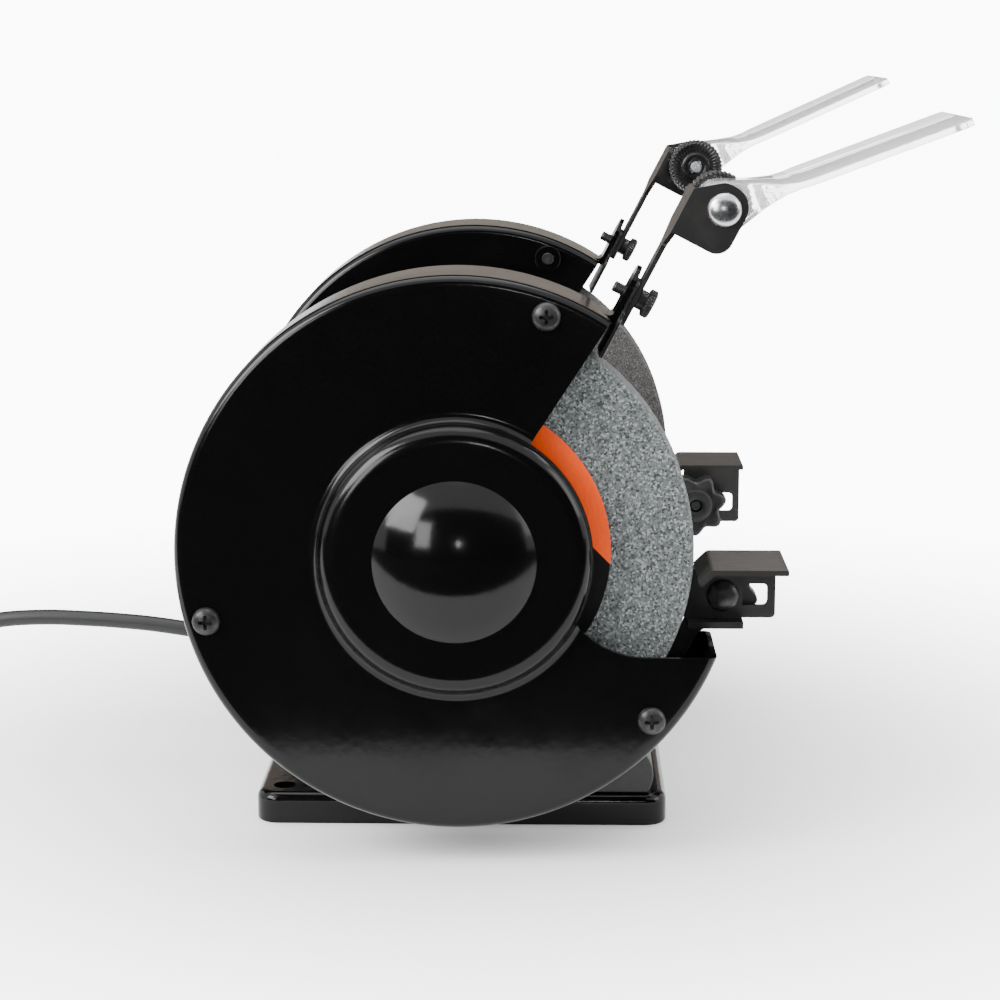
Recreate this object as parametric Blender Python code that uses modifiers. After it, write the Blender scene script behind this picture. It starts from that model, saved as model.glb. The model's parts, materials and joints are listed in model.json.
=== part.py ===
# Bench grinder with two 200 mm wheels, as an assembly of separate parts.
# Metres, +Z up. The shaft runs along X, the operator stands at -Y and the cord leaves at +Y.
# The origin is the centre of the base's underside.
# "Front" is a distance towards the operator, -Y, and "up" is a height above the shaft's axis.

from math import asin, atan2, cos, pi, radians, sin

import bmesh
import bpy
from mathutils import Matrix, Vector

MM = 0.001
GAP = 0.3 * MM
SHAFT_HEIGHT = 134 * MM
SIDES = {"left": -1, "right": 1}

# Wheels and what holds them, as distances from the middle along the shaft.
WHEEL_RADIUS = 100 * MM
WHEEL_WIDTH = 25 * MM
WHEEL_INNER_X = 117.6 * MM
WHEEL_OUTER_X = WHEEL_INNER_X + WHEEL_WIDTH
BLOTTER_RADIUS = 65 * MM
BLOTTER_THICK = 0.6 * MM
FLANGE_RADIUS = 34 * MM
ARBOR_RADIUS = 7.9 * MM
SHAFT_HALF = 162 * MM

# Guards: a drum with an inner plate, closed by a cover with a domed boss.
GUARD_RADIUS = 117.5 * MM
GUARD_OUTER_X = 157.5 * MM
GUARD_INNER_X = 107.5 * MM
GUARD_SHEET = 2 * MM
GUARD_ROUND = 4 * MM
COVER_LIP = 6.5 * MM
SCREW_CIRCLE = 107.6 * MM
SCREW_ANGLES = (69.5, 194.7, -40)
MOUTH_TOP_ANGLE = 57
MOUTH_FLOOR = -42.4 * MM
MOUTH_INNER_RADIUS = 57.5 * MM
MOUTH_CORNER_RADIUS = 37.6 * MM
MOUTH_CORNER_FRONT = 80 * MM
BOSS_HEIGHT = 9 * MM
DOME_RADIUS = 34 * MM
DOME_RISE = 12 * MM

# Shield arms: "along" runs up and forward beside the guard's mouth, "out" is square to it, forward and down.
ARM_ANGLE = 62.5
SHIELD_X = 130 * MM
CLAMP_ALONG = 128.6 * MM
CLAMP_RADIUS = 2.5 * MM
PIVOT_ALONG = 178.2 * MM
PIVOT_OUT = 31.3 * MM
ARM_SLOT_HALF = 2.8 * MM
BRACKET_UNDER = 16.2 * MM
BRACKET_SHEET = 2 * MM
BRACKET_LIFT = {"left": 0.0, "right": 4.6 * MM}
SHIELD_TILT = {"left": 20.5, "right": 24.5}
SHIELD_LENGTH = 103.5 * MM
SHIELD_WIDTH = 86 * MM
SHIELD_THICK = 3 * MM
KNUCKLE_RADIUS = 10.5 * MM
M6_RADIUS = 3 * MM

# Tool rests.
REST_TOP = -6.5 * MM
REST_SHEET = 2.3 * MM
REST_INNER_X = 107.2 * MM
REST_OUTER_X = 149.5 * MM
REST_BOLT_FRONT = 114.5 * MM
REST_BOLT_UP = -25.7 * MM

# Base, motor and switch.
BASE_HALF_X = 100 * MM
BASE_HALF_Y = 92 * MM
FLANGE_HEIGHT = 14 * MM
PEDESTAL_TOP = 76 * MM
BENCH_HOLES = [(a * 87 * MM, b * MM) for a in (-1, 1) for b in (80, -38)]
BENCH_HOLE_RADIUS = 5 * MM
MOTOR_RADIUS = 72 * MM
MOTOR_HALF = 60 * MM
STATOR_HALF = 35 * MM
BEARING_INNER_X = 92 * MM
BEARING_WIDTH = 12 * MM
BEARING_RADIUS = 20 * MM
SWITCH_HALF_X = 97 * MM
NOSE_FRONT = 72 * MM
NOSE_HEIGHT = 22.5 * MM
NOSE_RADIUS = 14 * MM

# Supply cord.
CORD_RADIUS = 3.8 * MM
RELIEF_ROOT = (0, 56.2 * MM, 44.6 * MM)
RELIEF_NECK = 7.2 * MM
COIL_MEAN_RADIUS = 42 * MM
COIL_X = -49.7 * MM
COIL_Y = 402 * MM
CORD_ROUTE = [  # y and z of the cord's centre, in mm, from the strain relief to the bench
    (90.4, 55.4), (103, 58.8), (119, 62.4), (136, 65.2), (153, 67.6), (168, 69), (182, 69.9),
    (204, 70.6), (226, 69.2), (247, 64.4), (266, 56.2), (284, 44.9), (301, 32.2), (318, 20),
    (335, 10.4), (351, 5.2), (366, 4), (373.9, 3.9),
]

BLACK_GLOSS = ((0.012, 0.012, 0.013), 0.22, 0.0)
BLACK_SATIN = ((0.02, 0.02, 0.021), 0.5, 0.0)
BLACK_PLASTIC = ((0.022, 0.022, 0.024), 0.6, 0.0)
DARK_STEEL = ((0.1, 0.09, 0.085), 0.42, 0.8)
BARE_STEEL = ((0.55, 0.54, 0.52), 0.35, 1.0)
ZINC = ((0.75, 0.76, 0.77), 0.22, 1.0)
ALUMINIUM = ((0.6, 0.6, 0.61), 0.5, 1.0)
COPPER = ((0.5, 0.22, 0.1), 0.4, 0.8)
GRIT = {"left": ((0.17, 0.2, 0.22), 0.9, 0.0), "right": ((0.16, 0.15, 0.145), 0.9, 0.0)}
PAPER = ((0.9, 0.16, 0.02), 0.7, 0.0)
CLEAR = ((0.86, 0.87, 0.88), 0.05, 0.0)
RED = ((0.55, 0.02, 0.02), 0.35, 0.0)
RUBBER = ((0.03, 0.03, 0.032), 0.65, 0.0)

for old in list(bpy.data.objects):
    bpy.data.objects.remove(old)

parts = bpy.data.collections.new("bench_grinder")
cutters = bpy.data.collections.new("cutters")
bpy.context.scene.collection.children.link(parts)
bpy.context.scene.collection.children.link(cutters)


# ---- shape helpers ----

def as_part(obj, look):
    """Puts the object among the parts, with a material of its own."""
    color, roughness, metallic = look
    material = bpy.data.materials.new(obj.name)
    material.use_nodes = True
    shader = material.node_tree.nodes["Principled BSDF"]
    shader.inputs["Base Color"].default_value = (*color, 1)
    shader.inputs["Roughness"].default_value = roughness
    shader.inputs["Metallic"].default_value = metallic
    obj.data.materials.clear()
    obj.data.materials.append(material)
    cutters.objects.unlink(obj)
    parts.objects.link(obj)
    obj.hide_render = False
    obj.display_type = "TEXTURED"
    return obj


def helper(name, data):
    """A new object, which stays a hidden helper until as_part takes it."""
    obj = bpy.data.objects.new(name, data)
    cutters.objects.link(obj)
    obj.hide_render = True
    obj.display_type = "WIRE"
    return obj


def set_origin(obj, point):
    """Moves the object's origin to a point and leaves its shape where it is."""
    obj.data.transform(Matrix.Translation(-Vector(point)))
    obj.location = point
    return obj


def change(obj, other, operation):
    """Adds a Boolean of the other object: UNION or DIFFERENCE."""
    modifier = obj.modifiers.new(other.name, "BOOLEAN")
    modifier.operation = operation
    modifier.object = other
    return obj


def join(obj, *others):
    for other in others:
        change(obj, other, "UNION")
    return obj


def cut(obj, *others):
    for other in others:
        change(obj, other, "DIFFERENCE")
    return obj


def turned(name, profile, origin, direction, steps=24, ring=False, sheet=False):
    """Turns (radius, height) points about an axis through origin. A ring's profile is a closed loop.
    A sheet's is an open line, given from the outer side's top down; other profiles end on the axis."""
    points = list(profile)
    if not sheet:
        area = sum(
            a[0] * b[1] - b[0] * a[1] for a, b in zip(points, points[1:] + points[:1])
        )
        if area > 0:
            points.reverse()
    mesh = bpy.data.meshes.new(name)
    edges = [(i, i + 1) for i in range(len(points) - 1)]
    if ring:
        edges.append((len(points) - 1, 0))
    mesh.from_pydata([(r, 0, h) for r, h in points], edges, [])
    obj = helper(name, mesh)
    screw = obj.modifiers.new("turn", "SCREW")
    screw.steps = steps
    screw.render_steps = steps
    screw.use_merge_vertices = True
    screw.merge_threshold = 0.00001
    screw.use_smooth_shade = False
    obj.location = origin
    obj.rotation_mode = "QUATERNION"
    obj.rotation_quaternion = Vector(direction).to_track_quat("Z", "Y")
    return obj


def on_shaft(name, profile, side, **kinds):
    """A piece turned about the shaft, with heights measured from the middle outwards."""
    return turned(name, profile, (0, 0, SHAFT_HEIGHT), (side, 0, 0), **kinds)


def rods(name, runs, steps=20):
    """One mesh of round bars, each given as (radius, start, end)."""
    mesh = bpy.data.meshes.new(name)
    bm = bmesh.new()
    for radius, start, end in runs:
        start, end = Vector(start), Vector(end)
        turn = (end - start).to_track_quat("Z", "Y").to_matrix().to_4x4()
        bmesh.ops.create_cone(
            bm, cap_ends=True, segments=steps, radius1=radius, radius2=radius,
            depth=(end - start).length, matrix=Matrix.Translation((start + end) / 2) @ turn,
        )
    bm.to_mesh(mesh)
    bm.free()
    return helper(name, mesh)


def block(name, low, high, top_inset=(0, 0)):
    """A box between two corners, whose top may be drawn in along X and Y."""
    mesh = bpy.data.meshes.new(name)
    bm = bmesh.new()
    bmesh.ops.create_cube(bm, size=1)
    middle = (Vector(low) + Vector(high)) / 2
    size = Vector(high) - Vector(low)
    for vert in bm.verts:
        inset = [2 * i if vert.co.z > 0 else 0 for i in (*top_inset, 0)]
        vert.co = Vector(
            middle[k] + vert.co[k] * (size[k] - inset[k]) for k in range(3)
        )
    bm.to_mesh(mesh)
    bm.free()
    return helper(name, mesh)


def round_corners(points, radius, steps=2):
    """The outline with each corner replaced by an arc. A corner may carry its own radius as a third value."""
    outline = []
    for i, point in enumerate(points):
        here = Vector(point[:2])
        before = Vector(points[i - 1][:2]) - here
        after = Vector(points[(i + 1) % len(points)][:2]) - here
        r = point[2] if len(point) > 2 else radius
        if r <= 0:
            outline.append(tuple(here))
            continue
        half = before.angle(after) / 2
        inward = (before.normalized() + after.normalized()).normalized()
        centre = here + inward * r / sin(half)
        first = here + before.normalized() * r * cos(half) / sin(half) - centre
        last = here + after.normalized() * r * cos(half) / sin(half) - centre
        turn = first.angle_signed(last)
        for k in range(steps + 1):
            spoke = first.copy()
            spoke.rotate(Matrix.Rotation(-turn * k / steps, 2))
            outline.append(tuple(centre + spoke))
    return outline


def plate(name, outline, thick, place):
    """A flat outline given a thickness and put in place by a matrix, whose Z is the plate's middle normal."""
    curve = bpy.data.curves.new(name, "CURVE")
    curve.dimensions = "2D"
    curve.fill_mode = "BOTH"
    curve.extrude = thick / 2
    spline = curve.splines.new("POLY")
    spline.points.add(len(outline) - 1)
    for point, (a, b) in zip(spline.points, outline):
        point.co = (a, b, 0, 1)
    spline.use_cyclic_u = True
    drawn = helper(name + "_outline", curve)
    bpy.context.view_layer.update()
    graph = bpy.context.evaluated_depsgraph_get()
    mesh = bpy.data.meshes.new_from_object(drawn.evaluated_get(graph))
    bm = bmesh.new()
    bm.from_mesh(mesh)
    bmesh.ops.remove_doubles(bm, verts=bm.verts, dist=0.000001)
    bmesh.ops.transform(bm, matrix=place, verts=bm.verts)
    bmesh.ops.recalc_face_normals(bm, faces=bm.faces)
    bm.to_mesh(mesh)
    bm.free()
    bpy.data.objects.remove(drawn)
    return helper(name, mesh)


def placed(origin, across, along):
    """The matrix that takes an outline's two directions to across and along."""
    across, along = Vector(across), Vector(along)
    normal = across.cross(along)
    matrix = Matrix((across, along, normal)).transposed().to_4x4()
    return Matrix.Translation(origin) @ matrix


def side_plate(name, outline, x_low, x_high, height=SHAFT_HEIGHT):
    """A plate square to the shaft, its outline given as front and up."""
    middle = ((x_low + x_high) / 2, 0, height)
    return plate(name, outline, abs(x_high - x_low), placed(middle, (0, -1, 0), (0, 0, 1)))


def seen_from_side(x, front, up):
    return Vector((x, -front, SHAFT_HEIGHT + up))


# ---- the shield arms' own directions ----

ALONG = Vector((0, -cos(radians(ARM_ANGLE)), sin(radians(ARM_ANGLE))))
OUT = Vector((0, -sin(radians(ARM_ANGLE)), -cos(radians(ARM_ANGLE))))


def on_arm(x, along, out):
    return Vector((x, 0, SHAFT_HEIGHT)) + ALONG * along + OUT * out


def arm_sheet(name, outline, side, out_low, out_high, lift=0.0):
    """A plate lying along the arm, its outline given as distances across from SHIELD_X and along."""
    origin = on_arm(side * SHIELD_X, lift, (out_low + out_high) / 2)
    return plate(name, outline, out_high - out_low, placed(origin, (1, 0, 0), ALONG))


def arm_slot(low, high):
    """The outline of a slot in the arm's sheets, from low to high along the arm."""
    half = ARM_SLOT_HALF
    corners = [(-half, low), (half, low), (half, high), (-half, high)]
    return round_corners(corners, half - 0.1 * MM, 4)


# ---- rotor ----

def make_rotor():
    arbor, bearing, core = ARBOR_RADIUS, 8.2 * MM, 11 * MM
    profile = [
        (0, SHAFT_HALF), (arbor, SHAFT_HALF),
        (arbor, 110 * MM), (bearing, 110 * MM), (bearing, 88 * MM), (core, 86 * MM),
    ]
    profile += [(r, -h) for r, h in reversed(profile)]
    as_part(on_shaft("shaft", profile, 1, steps=16), BARE_STEEL)
    inner, outer = core + GAP, 36 * MM
    ends = [(inner, -STATOR_HALF), (outer, -STATOR_HALF), (outer, STATOR_HALF), (inner, STATOR_HALF)]
    as_part(on_shaft("rotor_core", ends, 1, steps=24, ring=True), BARE_STEEL)
    for side_name, side in SIDES.items():
        make_wheel(side_name, side)


def washer(name, inner, outer, low, high, side, look, steps=36):
    """A plain ring on the shaft."""
    profile = [(inner, low), (outer, low), (outer, high), (inner, high)]
    return as_part(on_shaft(name, profile, side, steps=steps, ring=True), look)


def make_wheel(side_name, side):
    bore = ARBOR_RADIUS + GAP
    inner_face = WHEEL_INNER_X - GAP
    washer("flange_inner_" + side_name, bore, FLANGE_RADIUS, 110.6 * MM, inner_face, side, BARE_STEEL, 24)
    washer("wheel_" + side_name, bore, WHEEL_RADIUS, WHEEL_INNER_X, WHEEL_OUTER_X, side, GRIT[side_name],
           48)
    paper = WHEEL_OUTER_X + GAP
    washer("blotter_" + side_name, bore, BLOTTER_RADIUS, paper, paper + BLOTTER_THICK, side, PAPER, 32)
    flange = paper + BLOTTER_THICK + GAP
    washer("flange_outer_" + side_name, bore, FLANGE_RADIUS, flange, flange + 5.5 * MM, side, BARE_STEEL, 24)
    nut_low = flange + 5.8 * MM
    nut = turned("arbor_nut_" + side_name, [(0, nut_low + 9 * MM), (13.6 * MM, nut_low + 9 * MM),
                 (13.6 * MM, nut_low), (0, nut_low)], (0, 0, SHAFT_HEIGHT), (side, 0, 0), steps=6)
    bore_rod = rods("arbor_nut_bore_" + side_name, [
        (bore, (side * (nut_low - MM), 0, SHAFT_HEIGHT), (side * (nut_low + 10 * MM), 0, SHAFT_HEIGHT))])
    as_part(cut(nut, bore_rod), BARE_STEEL)


# ---- motor ----

def make_motor():
    shell_inner = MOTOR_RADIUS - 2.5 * MM
    washer("motor_shell", shell_inner, MOTOR_RADIUS, -MOTOR_HALF, MOTOR_HALF, 1, BLACK_GLOSS, 36)
    washer("stator_core", 46 * MM, shell_inner - GAP, -STATOR_HALF, STATOR_HALF, 1, BARE_STEEL, 28)
    wall, head, end = 45.7 * MM, 61 * MM, STATOR_HALF + 15 * MM
    core_end = STATOR_HALF + GAP
    spool = [(36.8 * MM, -end), (head, -end), (head, -core_end), (wall, -core_end)]
    spool += [(r, -x) for r, x in reversed(spool)]
    as_part(on_shaft("stator_winding", spool, 1, steps=24, ring=True), COPPER)
    for side_name, side in SIDES.items():
        make_end_bell(side_name, side)


def make_end_bell(side_name, side):
    seat = BEARING_RADIUS + GAP
    seat_end = BEARING_INNER_X + BEARING_WIDTH + GAP
    hub_face = GUARD_INNER_X - GAP
    profile = [
        (seat, BEARING_INNER_X - 2 * MM), (36 * MM, BEARING_INNER_X - 2 * MM), (66 * MM, 70 * MM),
        (66 * MM, MOTOR_HALF + GAP), (MOTOR_RADIUS, MOTOR_HALF + GAP), (MOTOR_RADIUS, 72 * MM),
        (44 * MM, 98 * MM), (42 * MM, hub_face), (12 * MM, hub_face), (12 * MM, seat_end), (seat, seat_end),
    ]
    as_part(on_shaft("end_bell_" + side_name, profile, side, steps=28, ring=True), ALUMINIUM)
    washer("bearing_" + side_name, 8.2 * MM + GAP, BEARING_RADIUS, BEARING_INNER_X,
           BEARING_INNER_X + BEARING_WIDTH, side, BARE_STEEL, 20)


# ---- guards ----

def mouth_outline():
    """The guard's mouth as front and up: a radial top edge, an arc round the boss, a hollow corner, a level floor."""
    far = 145 * MM
    corner_up = MOUTH_FLOOR + MOUTH_CORNER_RADIUS
    top = radians(MOUTH_TOP_ANGLE)
    low_angle = radians(-28.2)
    steps = 10
    arc = [
        (MOUTH_INNER_RADIUS * cos(a), MOUTH_INNER_RADIUS * sin(a))
        for a in (top + (low_angle - top) * k / steps for k in range(steps + 1))
    ]
    start = atan2(arc[-1][1] - corner_up, arc[-1][0] - MOUTH_CORNER_FRONT) % (2 * pi)
    corner = [
        (MOUTH_CORNER_FRONT + MOUTH_CORNER_RADIUS * cos(a), corner_up + MOUTH_CORNER_RADIUS * sin(a))
        for a in (start + (1.5 * pi - start) * k / 5 for k in range(1, 6))
    ]
    return [(far * cos(top), far * sin(top)), *arc, *corner, (far, MOUTH_FLOOR), (far, far * sin(top))]


def guard_edge(plane, inward):
    """The rounded turn from a guard's flat plate into its drum, from the plate outwards."""
    middle = GUARD_RADIUS - GUARD_ROUND
    return [
        (middle + GUARD_ROUND * sin(a), plane + inward * GUARD_ROUND * (1 - cos(a)))
        for a in (0, pi / 4, pi / 2)
    ]


def cover_profile():
    """Radius and height of the cover's outer side, from the middle of its dome to the edge of its lip."""
    face = GUARD_OUTER_X
    sphere = (DOME_RADIUS ** 2 + DOME_RISE ** 2) / (2 * DOME_RISE)
    widest = asin(DOME_RADIUS / sphere)
    dome = [
        (sphere * sin(a), face + BOSS_HEIGHT + DOME_RISE - sphere * (1 - cos(a)))
        for a in (widest * k / 3 for k in range(4))
    ]
    shoulder = [(48, 9), (53.6, 8), (56.8, 4), (61.5, 0)]
    boss = [(r * MM, face + h * MM) for r, h in shoulder]
    return dome + boss + guard_edge(face, -1) + [(GUARD_RADIUS, face - COVER_LIP)]


def housing_profile():
    """Radius and height of the drum's outer side, from the cover's lip down to the shaft's opening."""
    edge = guard_edge(GUARD_INNER_X, 1)
    return [(GUARD_RADIUS, GUARD_OUTER_X - COVER_LIP - GAP), *reversed(edge), (22 * MM, GUARD_INNER_X)]


def thicken(obj, thick):
    solid = obj.modifiers.new("wall", "SOLIDIFY")
    solid.thickness = thick
    solid.offset = -1
    solid.use_even_offset = True
    return obj


def screw_places():
    """The guard screws' places as y and z."""
    return [
        (-SCREW_CIRCLE * cos(radians(a)), SHAFT_HEIGHT + SCREW_CIRCLE * sin(radians(a)))
        for a in SCREW_ANGLES
    ]


def make_guard(side_name, side):
    far_x = GUARD_OUTER_X + 10 * MM
    mouth = side_plate("mouth_" + side_name, mouth_outline(), side * 100 * MM, side * far_x)
    holes = rods("screw_holes_" + side_name,
                 [(3.4 * MM, (side * 100 * MM, y, z), (side * far_x, y, z)) for y, z in screw_places()], 16)
    cover = thicken(on_shaft("guard_cover_" + side_name, cover_profile(), side, steps=36, sheet=True),
                    GUARD_SHEET)
    as_part(cut(cover, mouth, holes), BLACK_GLOSS)
    nuts = rods("weld_nuts_" + side_name, [
        (6.5 * MM, (side * (GUARD_INNER_X - 4 * MM), y, z), (side * (GUARD_INNER_X + MM), y, z))
        for y, z in screw_places()], 18)
    housing = on_shaft("guard_housing_" + side_name, housing_profile(), side, steps=36, sheet=True)
    thicken(housing, GUARD_SHEET)
    tab_line = [(7, 115.4), (7, 117.2), (12, 117.2), (12, 141), (14, 141), (14, 115.4)]
    tab = plate("tab_" + side_name, [(a * MM, b * MM) for a, b in tab_line], 20 * MM,
                placed(on_arm(side * SHIELD_X, 0, 0), OUT, ALONG))
    tapped = rods("tab_hole_" + side_name, [
        (CLAMP_RADIUS + GAP, on_arm(side * SHIELD_X, CLAMP_ALONG, 10 * MM),
         on_arm(side * SHIELD_X, CLAMP_ALONG, 15 * MM))], 16)
    cut(housing, mouth)
    join(housing, nuts, tab)
    as_part(cut(housing, holes, tapped), BLACK_GLOSS)
    head = GUARD_OUTER_X + GAP
    tail = GUARD_INNER_X - 5 * MM
    screw = [(0, head + 3.6 * MM), (4 * MM, head + 2.9 * MM), (6 * MM, head),
             (M6_RADIUS, head), (M6_RADIUS, tail), (0, tail)]
    for number, (y, z) in enumerate(screw_places(), 1):
        as_part(turned(f"cover_screw_{side_name}_{number}", screw, (0, y, z), (side, 0, 0), steps=12),
                DARK_STEEL)


# ---- tool rests ----

def make_rest(side_name, side):
    make_rest_arm(side_name, side)
    make_rest_table(side_name, side)
    make_rest_clamp(side_name, side)


def in_mm(points):
    return [tuple(value * MM for value in point) for point in points]


def make_rest_arm(side_name, side):
    """The bent bracket fixed inside the guard, which carries the rest."""
    low, high = side * (REST_INNER_X + REST_SHEET + GAP), side * 112.3 * MM
    leg = [(99, -14, 0), (123, -14, 2), (123, -38.5, 0), (110, -38.5, 2), (103.8, -42, 0), (100.5, -49, 0),
           (92, -62.5, 3), (81, -56, 4), (90, -43, 4), (97, -38, 3), (99, -33, 2)]
    arm = side_plate("rest_arm_" + side_name, round_corners(in_mm(leg), 0), low, high)
    shelf = [(99, -35.5, 0), (123, -35.5, 0), (123, -38.5, 0), (99, -38.5, 0)]
    flange = side_plate("rest_arm_flange_" + side_name, round_corners(in_mm(shelf), 0), low, side * 120.5 * MM)
    hole = rest_bolt_hole(side_name, side)
    as_part(cut(join(arm, flange), hole), BLACK_SATIN)


def rest_bolt_hole(side_name, side):
    ends = (seen_from_side(side * x * MM, REST_BOLT_FRONT, REST_BOLT_UP) for x in (105, 115))
    return rods("rest_bolt_hole_" + side_name, [(M6_RADIUS + GAP, *ends)], 16)


def make_rest_table(side_name, side):
    """A sheet bent down at 45 degrees by the wheel, and down its inner side into a slotted web."""
    top, under = REST_TOP / MM, (REST_TOP - REST_SHEET) / MM
    section = [(101.6, top - 5.6), (107.2, top), (139.5, top), (139.5, under), (108.2, under),
               (103.2, top - 7.2)]
    inner, outer = side * REST_INNER_X, side * REST_OUTER_X
    table = side_plate("tool_rest_" + side_name, in_mm(section), inner, outer)
    web_line = [(108.6, top - 0.6, 0), (108.6, -17, 1), (96.5, -17, 2), (96.5, -36, 2), (137.5, -36, 2),
                (137.5, top - 0.6, 0)]
    web = side_plate("tool_rest_web_" + side_name, round_corners(in_mm(web_line), 0), inner,
                     side * (REST_INNER_X + REST_SHEET))
    slot_line = [(99.5, -20.9), (134, -20.9), (134, -30.5), (99.5, -30.5)]
    slot = side_plate("tool_rest_slot_" + side_name, round_corners(in_mm(slot_line), 2 * MM),
                      side * 105 * MM, side * 112 * MM)
    cut(join(table, web), slot)
    set_origin(table, seen_from_side(inner, REST_BOLT_FRONT, REST_BOLT_UP))
    as_part(table, DARK_STEEL)


def make_rest_clamp(side_name, side):
    """The carriage bolt through the arm and the web's slot, and its star knob."""
    head = 112.3 * MM + GAP
    bolt = [(0, head + 4 * MM), (4.6 * MM, head + 3 * MM), (7 * MM, head), (M6_RADIUS, head),
            (M6_RADIUS, 96 * MM), (0, 96 * MM)]
    axis = (0, -REST_BOLT_FRONT, SHAFT_HEIGHT + REST_BOLT_UP)
    as_part(turned("rest_bolt_" + side_name, bolt, axis, (side, 0, 0), steps=16), BLACK_SATIN)
    lobes, points = 7, 42
    star = []
    for k in range(points):
        angle = 2 * pi * k / points
        radius = (14.2 + 1.8 * cos(lobes * angle)) * MM
        star.append((REST_BOLT_FRONT + radius * cos(angle), REST_BOLT_UP + radius * sin(angle)))
    knob = side_plate("rest_knob_" + side_name, star, side * 94.5 * MM, side * (REST_INNER_X - GAP))
    bore = rods("rest_knob_bore_" + side_name, [(M6_RADIUS + GAP, *(
        seen_from_side(side * x, REST_BOLT_FRONT, REST_BOLT_UP) for x in (96 * MM - GAP, 108 * MM)))], 16)
    set_origin(knob, seen_from_side(side * REST_INNER_X, REST_BOLT_FRONT, REST_BOLT_UP))
    as_part(cut(knob, bore), BLACK_PLASTIC)


# ---- spark deflectors, shield brackets and eye shields ----

def make_shield_set(side_name, side):
    lift = BRACKET_LIFT[side_name]
    make_deflector(side_name, side)
    make_bracket(side_name, side, lift)
    make_clamp_bolt(side_name, side)
    make_shield(side_name, side, lift)
    make_shield_clamp(side_name, side, lift)


def make_deflector(side_name, side):
    line = [(-16, 100.8, 1), (16, 100.8, 1), (16, 118, 3), (9, 121, 3), (9, 136, 4), (-9, 136, 4),
            (-9, 121, 3), (-16, 118, 3)]
    sheet = arm_sheet("spark_deflector_" + side_name, round_corners(in_mm(line), 0), side, 14.3 * MM,
                      15.9 * MM)
    slot = arm_sheet("deflector_slot_" + side_name, arm_slot(119.5 * MM, 131.8 * MM), side, 13 * MM, 17 * MM)
    set_origin(sheet, on_arm(side * SHIELD_X, CLAMP_ALONG, 15 * MM))
    as_part(cut(sheet, slot), BLACK_SATIN)


def make_bracket(side_name, side, lift):
    """A T-shaped sheet with an ear bent forward at its outer end, which carries the shield's bolt.
    Its outline is given as distances outwards from SHIELD_X and along the arm, its ear's as out and along."""
    line = [(-7.5, 116, 2), (7.5, 116, 2), (7.5, 154, 4), (19, 160, 0), (19, 180, 0), (-19, 180, 3),
            (-19, 164, 3), (-7.5, 154, 4)]
    mirrored = [(side * across, along, r) for across, along, r in line][::side]
    sheet = arm_sheet("shield_bracket_" + side_name, round_corners(in_mm(mirrored), 0), side, BRACKET_UNDER,
                      BRACKET_UNDER + BRACKET_SHEET, lift)
    ear_line = [(16.2, 160, 0), (40.7, 160, 7), (40.7, 188.4, 9.4), (27, 188.4, 6), (16.2, 180, 0)]
    ear_x = side * (SHIELD_X + 18 * MM)
    ear = plate("bracket_ear_" + side_name, round_corners(in_mm(ear_line), 0, 4), BRACKET_SHEET,
                placed(on_arm(ear_x, lift, 0), OUT, ALONG))
    slot = arm_sheet("bracket_slot_" + side_name, arm_slot(118.6 * MM, 143.6 * MM), side, 15 * MM, 19 * MM,
                     lift)
    hole = rods("bracket_hole_" + side_name, [(M6_RADIUS + GAP, *(
        on_arm(ear_x + dx, PIVOT_ALONG + lift, PIVOT_OUT) for dx in (-3 * MM, 3 * MM)))], 16)
    set_origin(sheet, on_arm(side * SHIELD_X, CLAMP_ALONG, 17 * MM))
    as_part(cut(join(sheet, ear), slot, hole), BLACK_SATIN)


def make_clamp_bolt(side_name, side):
    profile = [(0, 25.4), (6, 25.4), (6, 21.8), (4.3, 21.8), (4.3, 18.5), (2.5, 18.5), (2.5, 7), (0, 7)]
    bolt = turned("clamp_bolt_" + side_name, in_mm(profile), on_arm(side * SHIELD_X, CLAMP_ALONG, 0), OUT,
                  steps=14)
    as_part(bolt, BLACK_SATIN)


def make_shield(side_name, side, lift):
    """A clear sheet with a wedge-shaped neck and a round knuckle on the pivot."""
    pivot = on_arm(0, PIVOT_ALONG + lift, PIVOT_OUT)
    tilt = radians(SHIELD_TILT[side_name])
    reach = Vector((0, -cos(tilt), sin(tilt)))
    normal = Vector((0, sin(tilt), cos(tilt)))
    knuckle_low, knuckle_high = 106.8 * MM, 146.7 * MM
    middle = (knuckle_low + knuckle_high) / 2
    half = (knuckle_high - knuckle_low) / 2 / MM
    wide = SHIELD_WIDTH / MM / 2
    end = SHIELD_LENGTH / MM
    line = [(-half, 2, 0), (half, 2, 0), (half, 24, 3), (wide, 35, 4), (wide, end, 4), (-wide, end, 4),
            (-wide, 35, 4), (-half, 24, 3)]
    sheet = plate("eye_shield_" + side_name, round_corners(in_mm(line), 0), SHIELD_THICK,
                  placed(pivot + Vector((side * middle, 0, 0)), (1, 0, 0), reach))
    knuckle = rods("knuckle_" + side_name, [(KNUCKLE_RADIUS, *(
        pivot + Vector((side * x, 0, 0)) for x in (knuckle_low, knuckle_high)))], 20)
    wedge = in_mm([(0, 10.2), (3, 9.9), (25, 2.4), (30, 1.2), (30, -1.2), (25, -2.4), (3, -9.9), (0, -10.2)])
    neck = plate("neck_" + side_name, wedge, knuckle_high - knuckle_low - 4 * MM,
                 placed(pivot + Vector((side * middle, 0, 0)), reach, normal))
    bore = rods("knuckle_bore_" + side_name, [(M6_RADIUS + GAP, *(
        pivot + Vector((side * x, 0, 0)) for x in (104 * MM, 150 * MM)))], 16)
    set_origin(sheet, pivot + Vector((side * middle, 0, 0)))
    as_part(cut(join(sheet, knuckle, neck), bore), CLEAR)


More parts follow.
